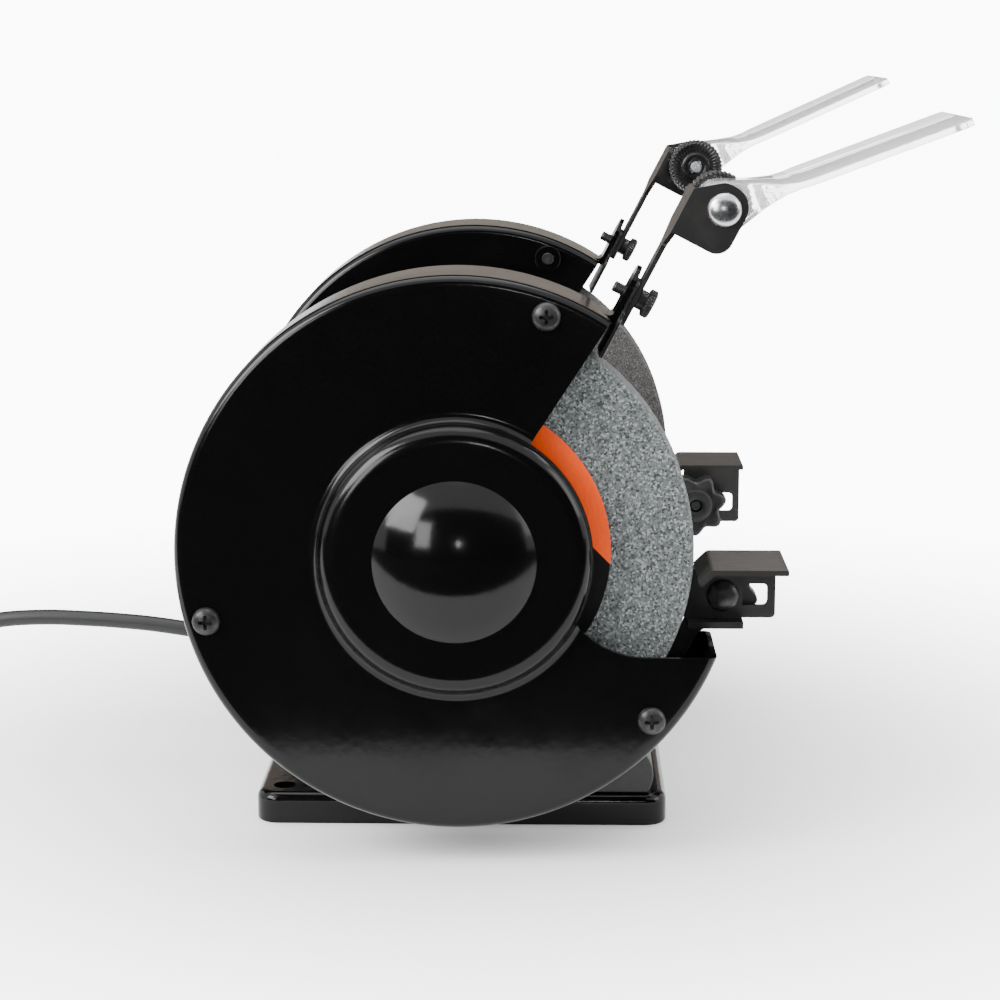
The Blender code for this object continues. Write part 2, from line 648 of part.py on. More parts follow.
def make_shield_clamp(side_name, side, lift):
    """The zinc carriage bolt through the ear and the knuckle, and its ribbed thumb nut."""
    pivot = on_arm(0, PIVOT_ALONG + lift, PIVOT_OUT)
    head = 149 * MM + GAP
    end = 93.2 * MM
    bolt = [(0, head + 3.8 * MM), (4.6 * MM, head + 2.9 * MM), (7.15 * MM, head), (M6_RADIUS, head),
            (M6_RADIUS, end), (0, end)]
    as_part(turned("shield_bolt_" + side_name, bolt, pivot, (side, 0, 0), steps=16), ZINC)
    ribs = 22
    line = []
    for k in range(2 * ribs):
        radius = (13.5 if k % 2 else 12.7) * MM
        line.append((radius * cos(pi * k / ribs), radius * sin(pi * k / ribs)))
    nut = plate("shield_knob_" + side_name, line, 11 * MM,
                placed(pivot + Vector((side * 101 * MM, 0, 0)), (0, -1, 0), (0, 0, 1)))
    bore = rods("shield_knob_bore_" + side_name, [(M6_RADIUS + GAP, *(
        pivot + Vector((side * x, 0, 0)) for x in (92 * MM, 108 * MM)))], 16)
    set_origin(nut, pivot + Vector((side * 101 * MM, 0, 0)))
    as_part(cut(nut, bore), BLACK_PLASTIC)


# ---- base, switch and capacitor ----

def bevel_edges(obj, width, pick, segments=2):
    """Bevels the edges that pick chooses by their two end points."""
    bm = bmesh.new()
    bm.from_mesh(obj.data)
    weight = bm.edges.layers.float.new("bevel_weight_edge")
    for edge in bm.edges:
        if len(edge.link_faces) == 2 and edge.calc_face_angle() > 0.3 and pick(*(v.co for v in edge.verts)):
            edge[weight] = 1
    bm.to_mesh(obj.data)
    bm.free()
    bevel = obj.modifiers.new("round", "BEVEL")
    bevel.limit_method = "WEIGHT"
    bevel.width = width
    bevel.segments = segments
    return obj


def make_base():
    x, y = BASE_HALF_X, BASE_HALF_Y
    line = round_corners([(-x, -y), (x, -y), (x, y), (-x, y)], 10 * MM, 4)
    flat = placed((0, 0, FLANGE_HEIGHT / 2), (1, 0, 0), (0, 1, 0))
    base = plate("base_casting", line, FLANGE_HEIGHT, flat)
    top_edge = FLANGE_HEIGHT - 0.1 * MM
    bevel_edges(base, 4 * MM, lambda a, b: a.z > top_edge and b.z > top_edge)
    pedestal = block("pedestal", (-76 * MM, -55 * MM, 2 * MM), (76 * MM, 68 * MM, PEDESTAL_TOP),
                     (22 * MM, 12 * MM))
    bevel_edges(pedestal, 7 * MM, lambda a, b: abs(a.z - b.z) > 10 * MM)
    hollow = block("pedestal_hollow", (-71 * MM, -50 * MM, -MM), (71 * MM, 63 * MM, PEDESTAL_TOP + MM),
                   (22 * MM, 12 * MM))
    saddle = rods("saddle", [(MOTOR_RADIUS + GAP, (-90 * MM, 0, SHAFT_HEIGHT), (90 * MM, 0, SHAFT_HEIGHT))], 72)
    recess = block("plate_recess", (-80 * MM, -60 * MM, -MM), (80 * MM, 72 * MM, 2.4 * MM))
    bolts = rods("bench_holes", [
        (BENCH_HOLE_RADIUS, (a, b, -MM), (a, b, FLANGE_HEIGHT + MM)) for a, b in BENCH_HOLES], 16)
    root, leaves = Vector(RELIEF_ROOT), cord_direction()
    gland = rods("gland_hole", [(RELIEF_NECK + 2 * GAP, root - leaves * 12 * MM, root + leaves * 20 * MM)], 16)
    join(base, pedestal)
    cut(base, hollow, saddle, recess, bolts, gland)
    as_part(base, BLACK_GLOSS)
    cover = block("base_bottom_plate", (-79.7 * MM, -59.7 * MM, 0), (79.7 * MM, 71.7 * MM, 1.6 * MM))
    as_part(cover, BLACK_SATIN)
    can = rods("capacitor", [(17 * MM, (-32 * MM, 12 * MM, 24 * MM), (32 * MM, 12 * MM, 24 * MM))], 24)
    as_part(can, ALUMINIUM)


def nose_line(shrink):
    """Front and height of the switch hood: a round nose on the flange and a panel sloping back at 45 degrees."""
    radius = NOSE_RADIUS - shrink
    floor = FLANGE_HEIGHT + GAP
    low = -asin((NOSE_HEIGHT - floor) / radius)
    arc = [
        (NOSE_FRONT + radius * cos(a), NOSE_HEIGHT + radius * sin(a))
        for a in (low + (pi / 4 - low) * k / 6 for k in range(7))
    ]
    rise = 22 * MM
    top = (arc[-1][0] - rise, arc[-1][1] + rise)
    return [(55.6 * MM, floor), *arc, top, (55.6 * MM, top[1])]


def make_switch():
    hood = side_plate("switch_housing", nose_line(0), -SWITCH_HALF_X, SWITCH_HALF_X, 0)
    inner = [(a - 6 * MM if a < 56 * MM else a, b - 4 * MM if b < 15 * MM else b)
             for a, b in nose_line(2.5 * MM)]
    hollow = side_plate("switch_hollow", inner, 2.5 * MM - SWITCH_HALF_X, SWITCH_HALF_X - 2.5 * MM, 0)
    middle = (0, -71.4 * MM, 42.9 * MM)
    across, down = (1, 0, 0), Vector((0, -1, -1)).normalized()
    window = plate("switch_window", round_corners(in_mm([(-14, -9.5), (14, -9.5), (14, 9.5), (-14, 9.5)]),
                   MM), 14 * MM, placed(middle, across, down))
    as_part(cut(hood, hollow, window), BLACK_PLASTIC)
    rocker = plate("switch_rocker", round_corners(in_mm([(-13.4, -8.8), (13.4, -8.8), (13.4, 8.8),
                   (-13.4, 8.8)]), MM), 9 * MM, placed(middle, across, down))
    set_origin(rocker, middle)
    as_part(rocker, RED)


# ---- cord ----

def smooth_line(points, step):
    """Points a step apart on a Catmull-Rom curve through the given ones."""
    points = [Vector(p) for p in points]
    ends = [2 * points[0] - points[1], *points, 2 * points[-1] - points[-2]]
    line = []
    for a, b, c, d in zip(ends, ends[1:], ends[2:], ends[3:]):
        count = max(1, round((c - b).length / step))
        for k in range(count):
            t = k / count
            line.append(((2 * b) + (c - a) * t + (2 * a - 5 * b + 4 * c - d) * t ** 2
                         + (3 * b - a - 3 * c + d) * t ** 3) / 2)
    return [*line, points[-1]]


def make_cord():
    curve = bpy.data.curves.new("cord", "CURVE")
    curve.dimensions = "3D"
    curve.bevel_depth = CORD_RADIUS
    curve.bevel_resolution = 2
    curve.use_fill_caps = True
    line = smooth_line([(0, y * MM, z * MM) for y, z in CORD_ROUTE], 16 * MM)
    spline = curve.splines.new("POLY")
    spline.points.add(len(line) - 1)
    for point, place in zip(spline.points, line):
        point.co = (*place, 1)
    as_part(helper("cord", curve), RUBBER)
    half, thick, edge = 11.4 * MM, 15.2 * MM, 2.5 * MM
    ring = [(COIL_MEAN_RADIUS + a, b) for a, b in (
        (-half, 0), (half, 0), (half, thick - edge), (half - edge, thick), (edge - half, thick),
        (-half, thick - edge))]
    as_part(turned("cord_coil", ring, (COIL_X, COIL_Y, 0), (0, 0, 1), steps=32, ring=True), RUBBER)
    make_strain_relief()
    make_plug()


def route_start():
    y, z = CORD_ROUTE[0]
    return Vector((0, y * MM, z * MM))


def cord_direction():
    """The way the cord leaves the base's back."""
    return (route_start() - Vector(RELIEF_ROOT)).normalized()


def make_strain_relief():
    """A tapered sleeve with a collar outside the casting and a neck through its gland hole."""
    length = (route_start() - Vector(RELIEF_ROOT)).length - GAP
    collar, inside = (7.4 * MM, 10.2 * MM), -5 * MM
    profile = [(0, length), (4.9 * MM, length), (7 * MM, collar[1]), (9.8 * MM, collar[1]), (9.8 * MM, collar[0]),
               (RELIEF_NECK, collar[0]), (RELIEF_NECK, inside), (0, inside)]
    as_part(turned("strain_relief", profile, RELIEF_ROOT, cord_direction(), steps=16), RUBBER)


def make_plug():
    """A moulded plug with two flat blades and a round earth pin, lying beside the coil and pointing to -Y."""
    x, z, y = COIL_X - COIL_MEAN_RADIUS - 7.7 * MM, 12.2 * MM, COIL_Y - 42.6 * MM
    body = block("plug", (x - 13 * MM, y - 36 * MM, z - 12.1 * MM), (x + 13 * MM, y, z + 12.1 * MM))
    bevel_edges(body, 3.5 * MM, lambda a, b: True)
    stub = rods("plug_stub", [(5.2 * MM, (x, y - 5 * MM, z), (x, y + 11.2 * MM, z))], 16)
    face = y - 36 * MM
    blades = [
        block(f"plug_blade_{number}", (x + dx - 0.75 * MM, face - 17 * MM, z + 1 * MM),
              (x + dx + 0.75 * MM, face + 5 * MM, z + 7.4 * MM))
        for number, dx in ((1, -6.35 * MM), (2, 6.35 * MM))
    ]
    pin = rods("plug_pin", [(2.4 * MM, (x, face - 19 * MM, z - 6.5 * MM), (x, face + 5 * MM, z - 6.5 * MM))], 12)
    as_part(join(body, stub, *blades, pin), BLACK_PLASTIC)


make_base()
make_switch()
make_motor()
make_rotor()
for name_of_side, sign in SIDES.items():
    make_guard(name_of_side, sign)
    make_rest(name_of_side, sign)
    make_shield_set(name_of_side, sign)
make_cord()
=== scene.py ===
import json
from math import pi

import bmesh
import bpy
import numpy as np
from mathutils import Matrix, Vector

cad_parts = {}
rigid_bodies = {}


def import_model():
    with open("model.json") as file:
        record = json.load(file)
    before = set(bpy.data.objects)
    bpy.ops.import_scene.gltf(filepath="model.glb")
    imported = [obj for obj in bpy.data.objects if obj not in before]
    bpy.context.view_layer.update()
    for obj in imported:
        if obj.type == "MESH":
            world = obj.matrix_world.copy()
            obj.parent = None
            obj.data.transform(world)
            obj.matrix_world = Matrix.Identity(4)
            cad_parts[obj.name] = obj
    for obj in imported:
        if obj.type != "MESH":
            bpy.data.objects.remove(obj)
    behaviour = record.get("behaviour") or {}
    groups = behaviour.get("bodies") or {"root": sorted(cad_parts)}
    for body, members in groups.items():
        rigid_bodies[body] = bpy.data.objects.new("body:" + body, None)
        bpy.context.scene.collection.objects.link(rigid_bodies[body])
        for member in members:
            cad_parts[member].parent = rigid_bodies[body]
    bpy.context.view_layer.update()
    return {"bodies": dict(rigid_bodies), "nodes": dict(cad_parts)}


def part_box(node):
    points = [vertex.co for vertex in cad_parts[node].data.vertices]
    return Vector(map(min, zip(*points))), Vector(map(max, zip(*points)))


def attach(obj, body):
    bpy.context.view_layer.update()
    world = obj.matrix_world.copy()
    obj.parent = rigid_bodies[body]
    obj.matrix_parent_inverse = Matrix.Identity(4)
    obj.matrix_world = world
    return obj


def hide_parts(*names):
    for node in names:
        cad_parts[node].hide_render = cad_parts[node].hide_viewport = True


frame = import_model()

mm = 0.001
sides = {"left": -1, "right": 1}
shaftLow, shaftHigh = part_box("shaft")
shaftUp = (shaftLow[2] + shaftHigh[2]) / 2
bodyOfEmpty = {empty.name: body for body, empty in frame["bodies"].items()}


# The camera stands off the left wheel and looks along the shaft, a little down.
cameraSet = {"place": (-1.1727, -0.0397, 0.35), "aim": (-0.1214, -0.018, 0.1519), "lens": 90.04}


def placed(name, data):
    obj = bpy.data.objects.new(name, data)
    bpy.context.scene.collection.objects.link(obj)
    return obj


def aimed(obj, place, aim):
    obj.location = place
    obj.rotation_mode = "QUATERNION"
    obj.rotation_quaternion = (Vector(aim) - Vector(place)).to_track_quat("-Z", "Y")


def addCamera():
    camera = placed("camera", bpy.data.cameras.new("camera"))
    camera.data.lens = cameraSet["lens"]
    aimed(camera, cameraSet["place"], cameraSet["aim"])
    bpy.context.scene.camera = camera


addCamera()
print("camera placed")


# mesh tools

def unit(vector):
    vector = np.array(vector, float)
    return vector / np.linalg.norm(vector)


def smooth(value, start, end):
    # 0 before start, 1 after end, and 3t^2 - 2t^3 between them
    t = np.clip((np.asarray(value, float) - start) / (end - start), 0, 1)
    return t * t * (3 - 2 * t)


def columns(*values):
    # one row for each place along the arrays, and one column for each array
    return np.stack(np.broadcast_arrays(*values), axis=1)


def gridFaces(rows, cols, wrapRows=False, wrapCols=True):
    # face (i, j) joins grid points (i, j), (i, j+1), (i+1, j+1), (i+1, j)
    i = np.arange(rows if wrapRows else rows - 1)[:, None]
    j = np.arange(cols if wrapCols else cols - 1)[None, :]
    below = ((i + 1) % rows) * cols
    right = (j + 1) % cols
    corners = np.broadcast_arrays(i * cols + j, i * cols + right, below + right, below + j)
    return np.stack(corners, axis=-1).reshape(-1, 4).tolist()


def solid(name, points, faces):
    # a closed mesh, welded where points meet, with its faces outwards
    mesh = bpy.data.meshes.new(name)
    mesh.from_pydata(np.asarray(points, float).reshape(-1, 3), [], faces)
    bm = bmesh.new()
    bm.from_mesh(mesh)
    bmesh.ops.remove_doubles(bm, verts=bm.verts, dist=0.000001)
    bmesh.ops.recalc_face_normals(bm, faces=bm.faces)
    bm.to_mesh(mesh)
    bm.free()
    return placed(name, mesh)


def turned(name, profile, origin, direction, steps=96, loop=False, change=None):
    # point(k, u) = origin + h_k axis + r_k (cos u across + sin u third), for profile points (r_k, h_k)
    # change, if given, takes the r, h and u arrays and gives new r and h, for ribs, lobes and grain
    profile = np.array(profile, float)
    axis = unit(direction)
    across = unit(np.cross(axis, (0.31, 0.2, 0.93)))
    third = np.cross(axis, across)
    u = np.linspace(0, 2 * pi, steps, endpoint=False)[None, :]
    r = np.repeat(profile[:, :1], steps, axis=1)
    h = np.repeat(profile[:, 1:], steps, axis=1)
    if change:
        r, h = change(r, h, u)
    ring = np.cos(u)[..., None] * across + np.sin(u)[..., None] * third
    points = np.array(origin) + h[..., None] * axis + r[..., None] * ring
    return solid(name, points, gridFaces(len(profile), steps, loop))


def onShaft(name, profile, side, **kinds):
    # a piece turned about the shaft, with heights measured from the middle outwards
    return turned(name, profile, (0, 0, shaftUp), (side, 0, 0), **kinds)


def stretched(name, outline, low, high, origin, across, along):
    # the outline (a, b) at heights low and high over the plane of across and along
    outline = np.array(outline, float)
    across, along = unit(across), unit(along)
    normal = np.cross(across, along)
    flat = np.array(origin) + outline[:, :1] * across + outline[:, 1:2] * along
    count = len(outline)
    caps = [list(range(count)), list(range(count, 2 * count))]
    points = np.vstack([flat + low * normal, flat + high * normal])
    return solid(name, points, gridFaces(2, count) + caps)


def sidePlate(name, outline, xFrom, xTo, height=None):
    # a plate square to the shaft, its outline given as front and up from the shaft
    height = shaftUp if height is None else height
    low, high = sorted((-xFrom, -xTo))
    return stretched(name, outline, low, high, (0, 0, height), (0, -1, 0), (0, 0, 1))


def lofted(name, sections):
    # rows of closed sections, skinned in order, with a flat face at each end
    rows, cols = sections.shape[:2]
    caps = [list(range(cols)), list(range((rows - 1) * cols, rows * cols))]
    return solid(name, sections, gridFaces(rows, cols) + caps)


def roundedRect(halfA, halfB, radius, arc=6):
    # four quarter circles centred at (+-(halfA - radius), +-(halfB - radius)), for a whole column of sections
    quarter = np.linspace(0, pi / 2, arc + 1)
    turn = (np.arange(4)[:, None] * pi / 2 + quarter).ravel()
    signA = np.repeat([1, -1, -1, 1], arc + 1)
    signB = np.repeat([1, 1, -1, -1], arc + 1)
    halfA, halfB, radius = (np.atleast_1d(v).astype(float)[:, None] for v in (halfA, halfB, radius))
    a = signA * (halfA - radius) + radius * np.cos(turn)
    b = signB * (halfB - radius) + radius * np.sin(turn)
    return np.stack(np.broadcast_arrays(a, b), axis=-1)


def inMm(corners):
    return [tuple(value * mm for value in corner) for corner in corners]


def roundCorners(corners, steps=6):
    # each corner (a, b, radius), in millimetres, becomes an arc that touches both of its edges
    corners = inMm(corners)
    outline = []
    for k, (a, b, radius) in enumerate(corners):
        here = np.array((a, b), float)
        before = unit(np.array(corners[k - 1][:2]) - here)
        after = unit(np.array(corners[(k + 1) % len(corners)][:2]) - here)
        if radius <= 0:
            outline.append(here[None])
            continue
        half = np.arccos(np.clip(before @ after, -1, 1)) / 2
        centre = here + unit(before + after) * radius / np.sin(half)
        first = here + before * radius / np.tan(half) - centre
        last = here + after * radius / np.tan(half) - centre
        sweep = np.arctan2(first[0] * last[1] - first[1] * last[0], first @ last)
        t = np.linspace(0, sweep, steps + 1)[:, None]
        square = np.array((-first[1], first[0]))
        outline.append(centre + np.cos(t) * first + np.sin(t) * square)
    return np.vstack(outline)


def wallFrom(outer, thick):
    # the profile outer, and the same line set inwards by thick along its normals, as one profile
    outer = np.array(outer, float)
    slope = np.gradient(outer, axis=0)
    slope /= np.linalg.norm(slope, axis=1)[:, None]
    inner = outer + thick * columns(slope[:, 1], -slope[:, 0])
    inner[outer[:, 0] < 1e-9, 0] = 0
    return np.vstack([outer, inner[::-1]])


def applied(obj):
    # the object with its modifiers made part of its mesh
    bpy.context.view_layer.update()
    made = bpy.data.meshes.new_from_object(obj.evaluated_get(bpy.context.evaluated_depsgraph_get()))
    obj.modifiers.clear()
    obj.data = made
    return obj


def combined(obj, others, operation="DIFFERENCE"):
    for other in others:
        step = obj.modifiers.new("combine", "BOOLEAN")
        step.operation = operation
        step.object = other
    applied(obj)
    for other in others:
        bpy.data.objects.remove(other)
    return obj


def bar(name, radius, start, end, steps=40):
    # a round bar from start to end
    start, end = np.array(start, float), np.array(end, float)
    length = np.linalg.norm(end - start)
    return turned(name, [(0, length), (radius, length), (radius, 0), (0, 0)], start, end - start, steps=steps)


def sideBar(name, radius, side, low, high, front, up, steps=40):
    # a round bar along the shaft's direction, |x| from low to high
    ends = ((side * x, -front, shaftUp + up) for x in (low, high))
    return bar(name, radius, *ends, steps=steps)


def joinedMeshes(obj, others):
    # several closed shells in one object
    bm = bmesh.new()
    for each in (obj, *others):
        bm.from_mesh(each.data)
    bm.to_mesh(obj.data)
    bm.free()
    for other in others:
        bpy.data.objects.remove(other)
    return obj


def carried(obj, nodeName):
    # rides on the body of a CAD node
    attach(obj, bodyOfEmpty[frame["nodes"][nodeName].parent.name])


def shaded(obj, finish, sharpFrom):
    # smooth shading up to an angle in radians, and one material
    obj.data.shade_smooth()
    obj.data.set_sharp_from_angle(angle=sharpFrom)
    obj.data.materials.clear()
    obj.data.materials.append(finish)


def finished(obj, nodes, finish, edge=0.0, angle=32, segments=2):
    # soft edges, smooth shading, a material, and the CAD nodes it stands for, whose body it rides on
    if edge:
        bevel = obj.modifiers.new("edge", "BEVEL")
        bevel.width = edge
        bevel.segments = segments
        bevel.limit_method = "ANGLE"
        bevel.angle_limit = 0.6
        applied(obj)
    shaded(obj, finish, angle * pi / 180)
    if edge:
        obj.modifiers.new("normals", "WEIGHTED_NORMAL").keep_sharp = True
    nodes = [nodes] if isinstance(nodes, str) else list(nodes)
    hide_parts(*nodes)
    carried(obj, nodes[0])
    return obj


# material tools

def newFinish(name, color, roughness, metallic=0.0, specular=0.5, coat=0.0):
    made = bpy.data.materials.new(name)
    made.use_nodes = True
    shader = made.node_tree.nodes["Principled BSDF"]
    shader.inputs["Base Color"].default_value = (*color, 1)
    shader.inputs["Roughness"].default_value = roughness
    shader.inputs["Metallic"].default_value = metallic
    shader.inputs["Specular IOR Level"].default_value = specular
    shader.inputs["Coat Weight"].default_value = coat
    return made, made.node_tree, shader


def node(tree, kind, **values):
    # a node with its settings, and with values for the sockets named with a leading underscore
    made = tree.nodes.new("ShaderNode" + kind)
    for key, value in values.items():
        if key.startswith("_"):
            made.inputs[key[1:].replace("_", " ")].default_value = value
        else:
            setattr(made, key, value)
    return made


def wire(tree, out, into):
    tree.links.new(out, into)


def places(tree, scale=(1, 1, 1), turn=(0, 0, 0), shift=(0, 0, 0)):
    coords = node(tree, "TexCoord")
    mapping = node(tree, "Mapping", _Scale=scale, _Rotation=turn, _Location=shift)
    wire(tree, coords.outputs["Object"], mapping.inputs["Vector"])
    return mapping.outputs["Vector"]


def noise(tree, where, scale, detail=3.0, roughness=0.5, distortion=0.0):
    made = node(tree, "TexNoise", _Scale=scale, _Detail=detail, _Roughness=roughness, _Distortion=distortion)
    wire(tree, where, made.inputs["Vector"])
    return made.outputs["Fac"]


def ranged(tree, value, low, high, toLow=0.0, toHigh=1.0, kind="LINEAR"):
    made = node(tree, "MapRange", interpolation_type=kind,
                _From_Min=low, _From_Max=high, _To_Min=toLow, _To_Max=toHigh)
    wire(tree, value, made.inputs["Value"])
    return made.outputs["Result"]


def blended(tree, amount, first, second):
    # first where amount is 0 and second where it is 1; each is a colour or a socket
    made = node(tree, "Mix", data_type="RGBA")
    wire(tree, amount, made.inputs["Factor"])
    for socket, value in ((made.inputs[6], first), (made.inputs[7], second)):
        if isinstance(value, tuple):
            socket.default_value = (*value, 1)
        else:
            wire(tree, value, socket)
    return made.outputs[2]


def ramped(tree, value, stops):
    made = node(tree, "ValToRGB")
    band = made.color_ramp
    while len(band.elements) < len(stops):
        band.elements.new(0.5)
    for element, (place, color) in zip(band.elements, stops):
        element.position = place
        element.color = (*color, 1)
    wire(tree, value, made.inputs["Fac"])
    return made.outputs["Color"]


def maths(tree, kind, first, second):
    made = node(tree, "Math", operation=kind)
    for socket, value in zip(made.inputs, (first, second)):
        if isinstance(value, (int, float)):
            socket.default_value = value
        else:
            wire(tree, value, socket)
    return made.outputs["Value"]


def bumped(tree, shader, heights):
    # one bump over another, each (height socket, strength, distance in metres)
    last = None
    for height, strength, distance in heights:
        made = node(tree, "Bump", _Strength=strength, _Distance=distance)
        wire(tree, height, made.inputs["Height"])
        if last:
            wire(tree, last, made.inputs["Normal"])
        last = made.outputs["Normal"]
    wire(tree, last, shader.inputs["Normal"])


def shaftDistance(tree):
    # distance from the shaft's line, in metres
    coords = node(tree, "TexCoord")
    flat = node(tree, "VectorMath", operation="MULTIPLY")
    flat.inputs[1].default_value = (0, 1, 1)
    centred = node(tree, "VectorMath", operation="SUBTRACT")
    centred.inputs[1].default_value = (0, 0, shaftUp)
    length = node(tree, "VectorMath", operation="LENGTH")
    wire(tree, coords.outputs["Object"], flat.inputs[0])
    wire(tree, flat.outputs["Vector"], centred.inputs[0])
    wire(tree, centred.outputs["Vector"], length.inputs[0])
    return length.outputs["Value"]


# finishes

enamelSet = {"color": (0.0011, 0.0011, 0.0012), "dusty": (0.006, 0.006, 0.006),
             "smoothest": 0.1, "dullest": 0.19, "specular": 0.25}


def glossEnamel(name, peel=1.0):
    # sprayed black enamel: a fine orange peel, cloudy gloss and a few specks of dust
    made, tree, shader = newFinish(name, enamelSet["color"], 0.15, specular=enamelSet["specular"])
    where = places(tree)
    cloud = noise(tree, where, 26, 4, 0.6)
    rough = ranged(tree, cloud, 0.3, 0.75, enamelSet["smoothest"], enamelSet["dullest"])
    wire(tree, rough, shader.inputs["Roughness"])
    specks = ranged(tree, noise(tree, where, 1500, 2, 0.7), 0.73, 0.8)
    wire(tree, blended(tree, specks, enamelSet["color"], enamelSet["dusty"]), shader.inputs["Base Color"])
    bumped(tree, shader, [
        (noise(tree, where, 240, 2, 0.45), 0.05 * peel, 0.0006),
        (noise(tree, where, 1500, 2, 0.7), 0.04 * peel, 0.0001),
    ])
    return made


def satinPaint(name, color, smoothest=0.3, dullest=0.46):
    # thin black paint or blacking over sheet steel, rubbed brownish in places
    made, tree, shader = newFinish(name, color, 0.4)
    where = places(tree)
    rubbed = ranged(tree, noise(tree, where, 90, 5, 0.65), 0.5, 0.78)
    brown = tuple(c * k for c, k in zip(color, (3.0, 2.6, 2.2)))
    wire(tree, blended(tree, rubbed, color, brown), shader.inputs["Base Color"])
    wire(tree, ranged(tree, noise(tree, where, 60, 4, 0.6), 0.3, 0.7, smoothest, dullest),
         shader.inputs["Roughness"])
    bumped(tree, shader, [(noise(tree, where, 1100, 3, 0.6), 0.12, 0.00015)])
    return made


def restSteel(name):
    # blackened sheet of the tool rests, with faint rolling lines along it and scuffs from work
    made, tree, shader = newFinish(name, (0.012, 0.011, 0.01), 0.42, metallic=0.15, specular=0.55)
    where = places(tree)
    lines = noise(tree, places(tree, scale=(1, 0.06, 1)), 1300, 3, 0.6)
    scuff = ranged(tree, noise(tree, places(tree, scale=(0.5, 1, 1)), 700, 4, 0.7), 0.66, 0.8)
    base = ramped(tree, noise(tree, where, 70, 5, 0.6),
                  [(0.3, (0.01, 0.0093, 0.0086)), (0.7, (0.0135, 0.0124, 0.0113))])
    wire(tree, blended(tree, scuff, base, (0.03, 0.0275, 0.025)), shader.inputs["Base Color"])
    wire(tree, ranged(tree, lines, 0.3, 0.7, 0.34, 0.42), shader.inputs["Roughness"])
    bumped(tree, shader, [(lines, 0.03, 0.0001), (noise(tree, where, 900, 3, 0.6), 0.08, 0.0001)])
    return made


def blackScrew(name):
    # phosphated steel: dark and fine-grained
    made, tree, shader = newFinish(name, (0.015, 0.015, 0.0155), 0.36, metallic=0.5)
    where = places(tree)
    grain = noise(tree, where, 1900, 4, 0.65)
    wire(tree, ramped(tree, noise(tree, where, 260, 4, 0.6), [
        (0.35, (0.01, 0.01, 0.0105)), (0.72, (0.034, 0.033, 0.032))]), shader.inputs["Base Color"])
    wire(tree, ranged(tree, grain, 0.3, 0.7, 0.26, 0.42), shader.inputs["Roughness"])
    bumped(tree, shader, [(grain, 0.14, 0.0001)])
    return made


def moulded(name, color, smoothest, dullest, grain=1400, depth=0.16):
    # moulded plastic or rubber: an even tone with the mould's fine spark grain
    made, tree, shader = newFinish(name, color, 0.5, specular=0.45)
    where = places(tree)
    lighter = tuple(c * 1.5 for c in color)
    wire(tree, blended(tree, ranged(tree, noise(tree, where, 45, 4, 0.6), 0.35, 0.75), color, lighter),
         shader.inputs["Base Color"])
    spark = noise(tree, where, grain, 2, 0.6)
    wire(tree, ranged(tree, spark, 0.3, 0.7, smoothest, dullest), shader.inputs["Roughness"])
    swell = noise(tree, where, grain * 0.3, 2, 0.5)
    bumped(tree, shader, [(spark, depth, 0.00012), (swell, depth * 0.3, 0.0002)])
    return made


def bareMetal(name, color, smoothest, dullest, turn=(60, 1400, 1400), depth=0.1):
    # machined or plated metal: fine lines stretched along one direction, and a cloudy polish
    made, tree, shader = newFinish(name, color, 0.3, metallic=1.0)
    lines = noise(tree, places(tree, scale=turn), 1, 3, 0.6)
    cloud = noise(tree, places(tree), 120, 4, 0.6)
    darker = tuple(c * 0.72 for c in color)
    wire(tree, blended(tree, ranged(tree, cloud, 0.35, 0.7), darker, color), shader.inputs["Base Color"])
    wire(tree, ranged(tree, maths(tree, "MULTIPLY", lines, cloud), 0.1, 0.5, smoothest, dullest),
         shader.inputs["Roughness"])
    bumped(tree, shader, [(lines, depth, 0.00008)])
    return made


gritSet = {
    "left": {"cell": 1200, "dark": (0.02, 0.023, 0.023), "mid": (0.071, 0.078, 0.077),
             "pale": (0.21, 0.226, 0.22), "rim": 0.25},
    "right": {"cell": 1900, "dark": (0.02, 0.019, 0.018), "mid": (0.055, 0.053, 0.05),
              "pale": (0.13, 0.126, 0.12), "rim": 0.2},
}


def gritStone(sideName):
    # bonded grit: grains as coloured cells with dark pores between, and the dressed rim a shade lighter
    grit = gritSet[sideName]
    made, tree, shader = newFinish("grit_" + sideName, grit["mid"], 0.85, specular=0.35)
    where = places(tree)
    cells = node(tree, "TexVoronoi", _Scale=grit["cell"], _Randomness=1.0)
    wire(tree, where, cells.inputs["Vector"])
    pick = node(tree, "SeparateColor")
    wire(tree, cells.outputs["Color"], pick.inputs["Color"])
    grains = ramped(tree, pick.outputs["Red"], [
        (0.08, grit["dark"]), (0.34, grit["mid"]), (0.74, tuple(c * 1.35 for c in grit["mid"])),
        (0.97, grit["pale"])])
    pores = ranged(tree, noise(tree, where, grit["cell"] * 0.9, 3, 0.7), 0.34, 0.46)
    toned = blended(tree, pores, tuple(c * 0.5 for c in grit["dark"]), grains)
    patch = ranged(tree, noise(tree, where, 160, 3, 0.6), 0.35, 0.65, 0.0, 0.28)
    toned = blended(tree, patch, toned, grit["mid"])
    rim = ranged(tree, shaftDistance(tree), 0.0983, 0.0996, 0.0, grit["rim"])
    wire(tree, blended(tree, rim, toned, grit["pale"]), shader.inputs["Base Color"])
    sparkle = ranged(tree, pick.outputs["Green"], 0.9, 1.0, 0.92, 0.4)
    wire(tree, sparkle, shader.inputs["Roughness"])
    bumped(tree, shader, [
        (cells.outputs["Distance"], 0.55, 0.0005),
        (pores, 0.5, 0.0004),
        (noise(tree, where, 2600, 2, 0.6), 0.25, 0.0002),
    ])
    return made


blotterSet = {"black": (0.0015, 0.0015, 0.0016), "orange": (0.64, 0.058, 0.0), "chord": 0.042, "slant": 45}


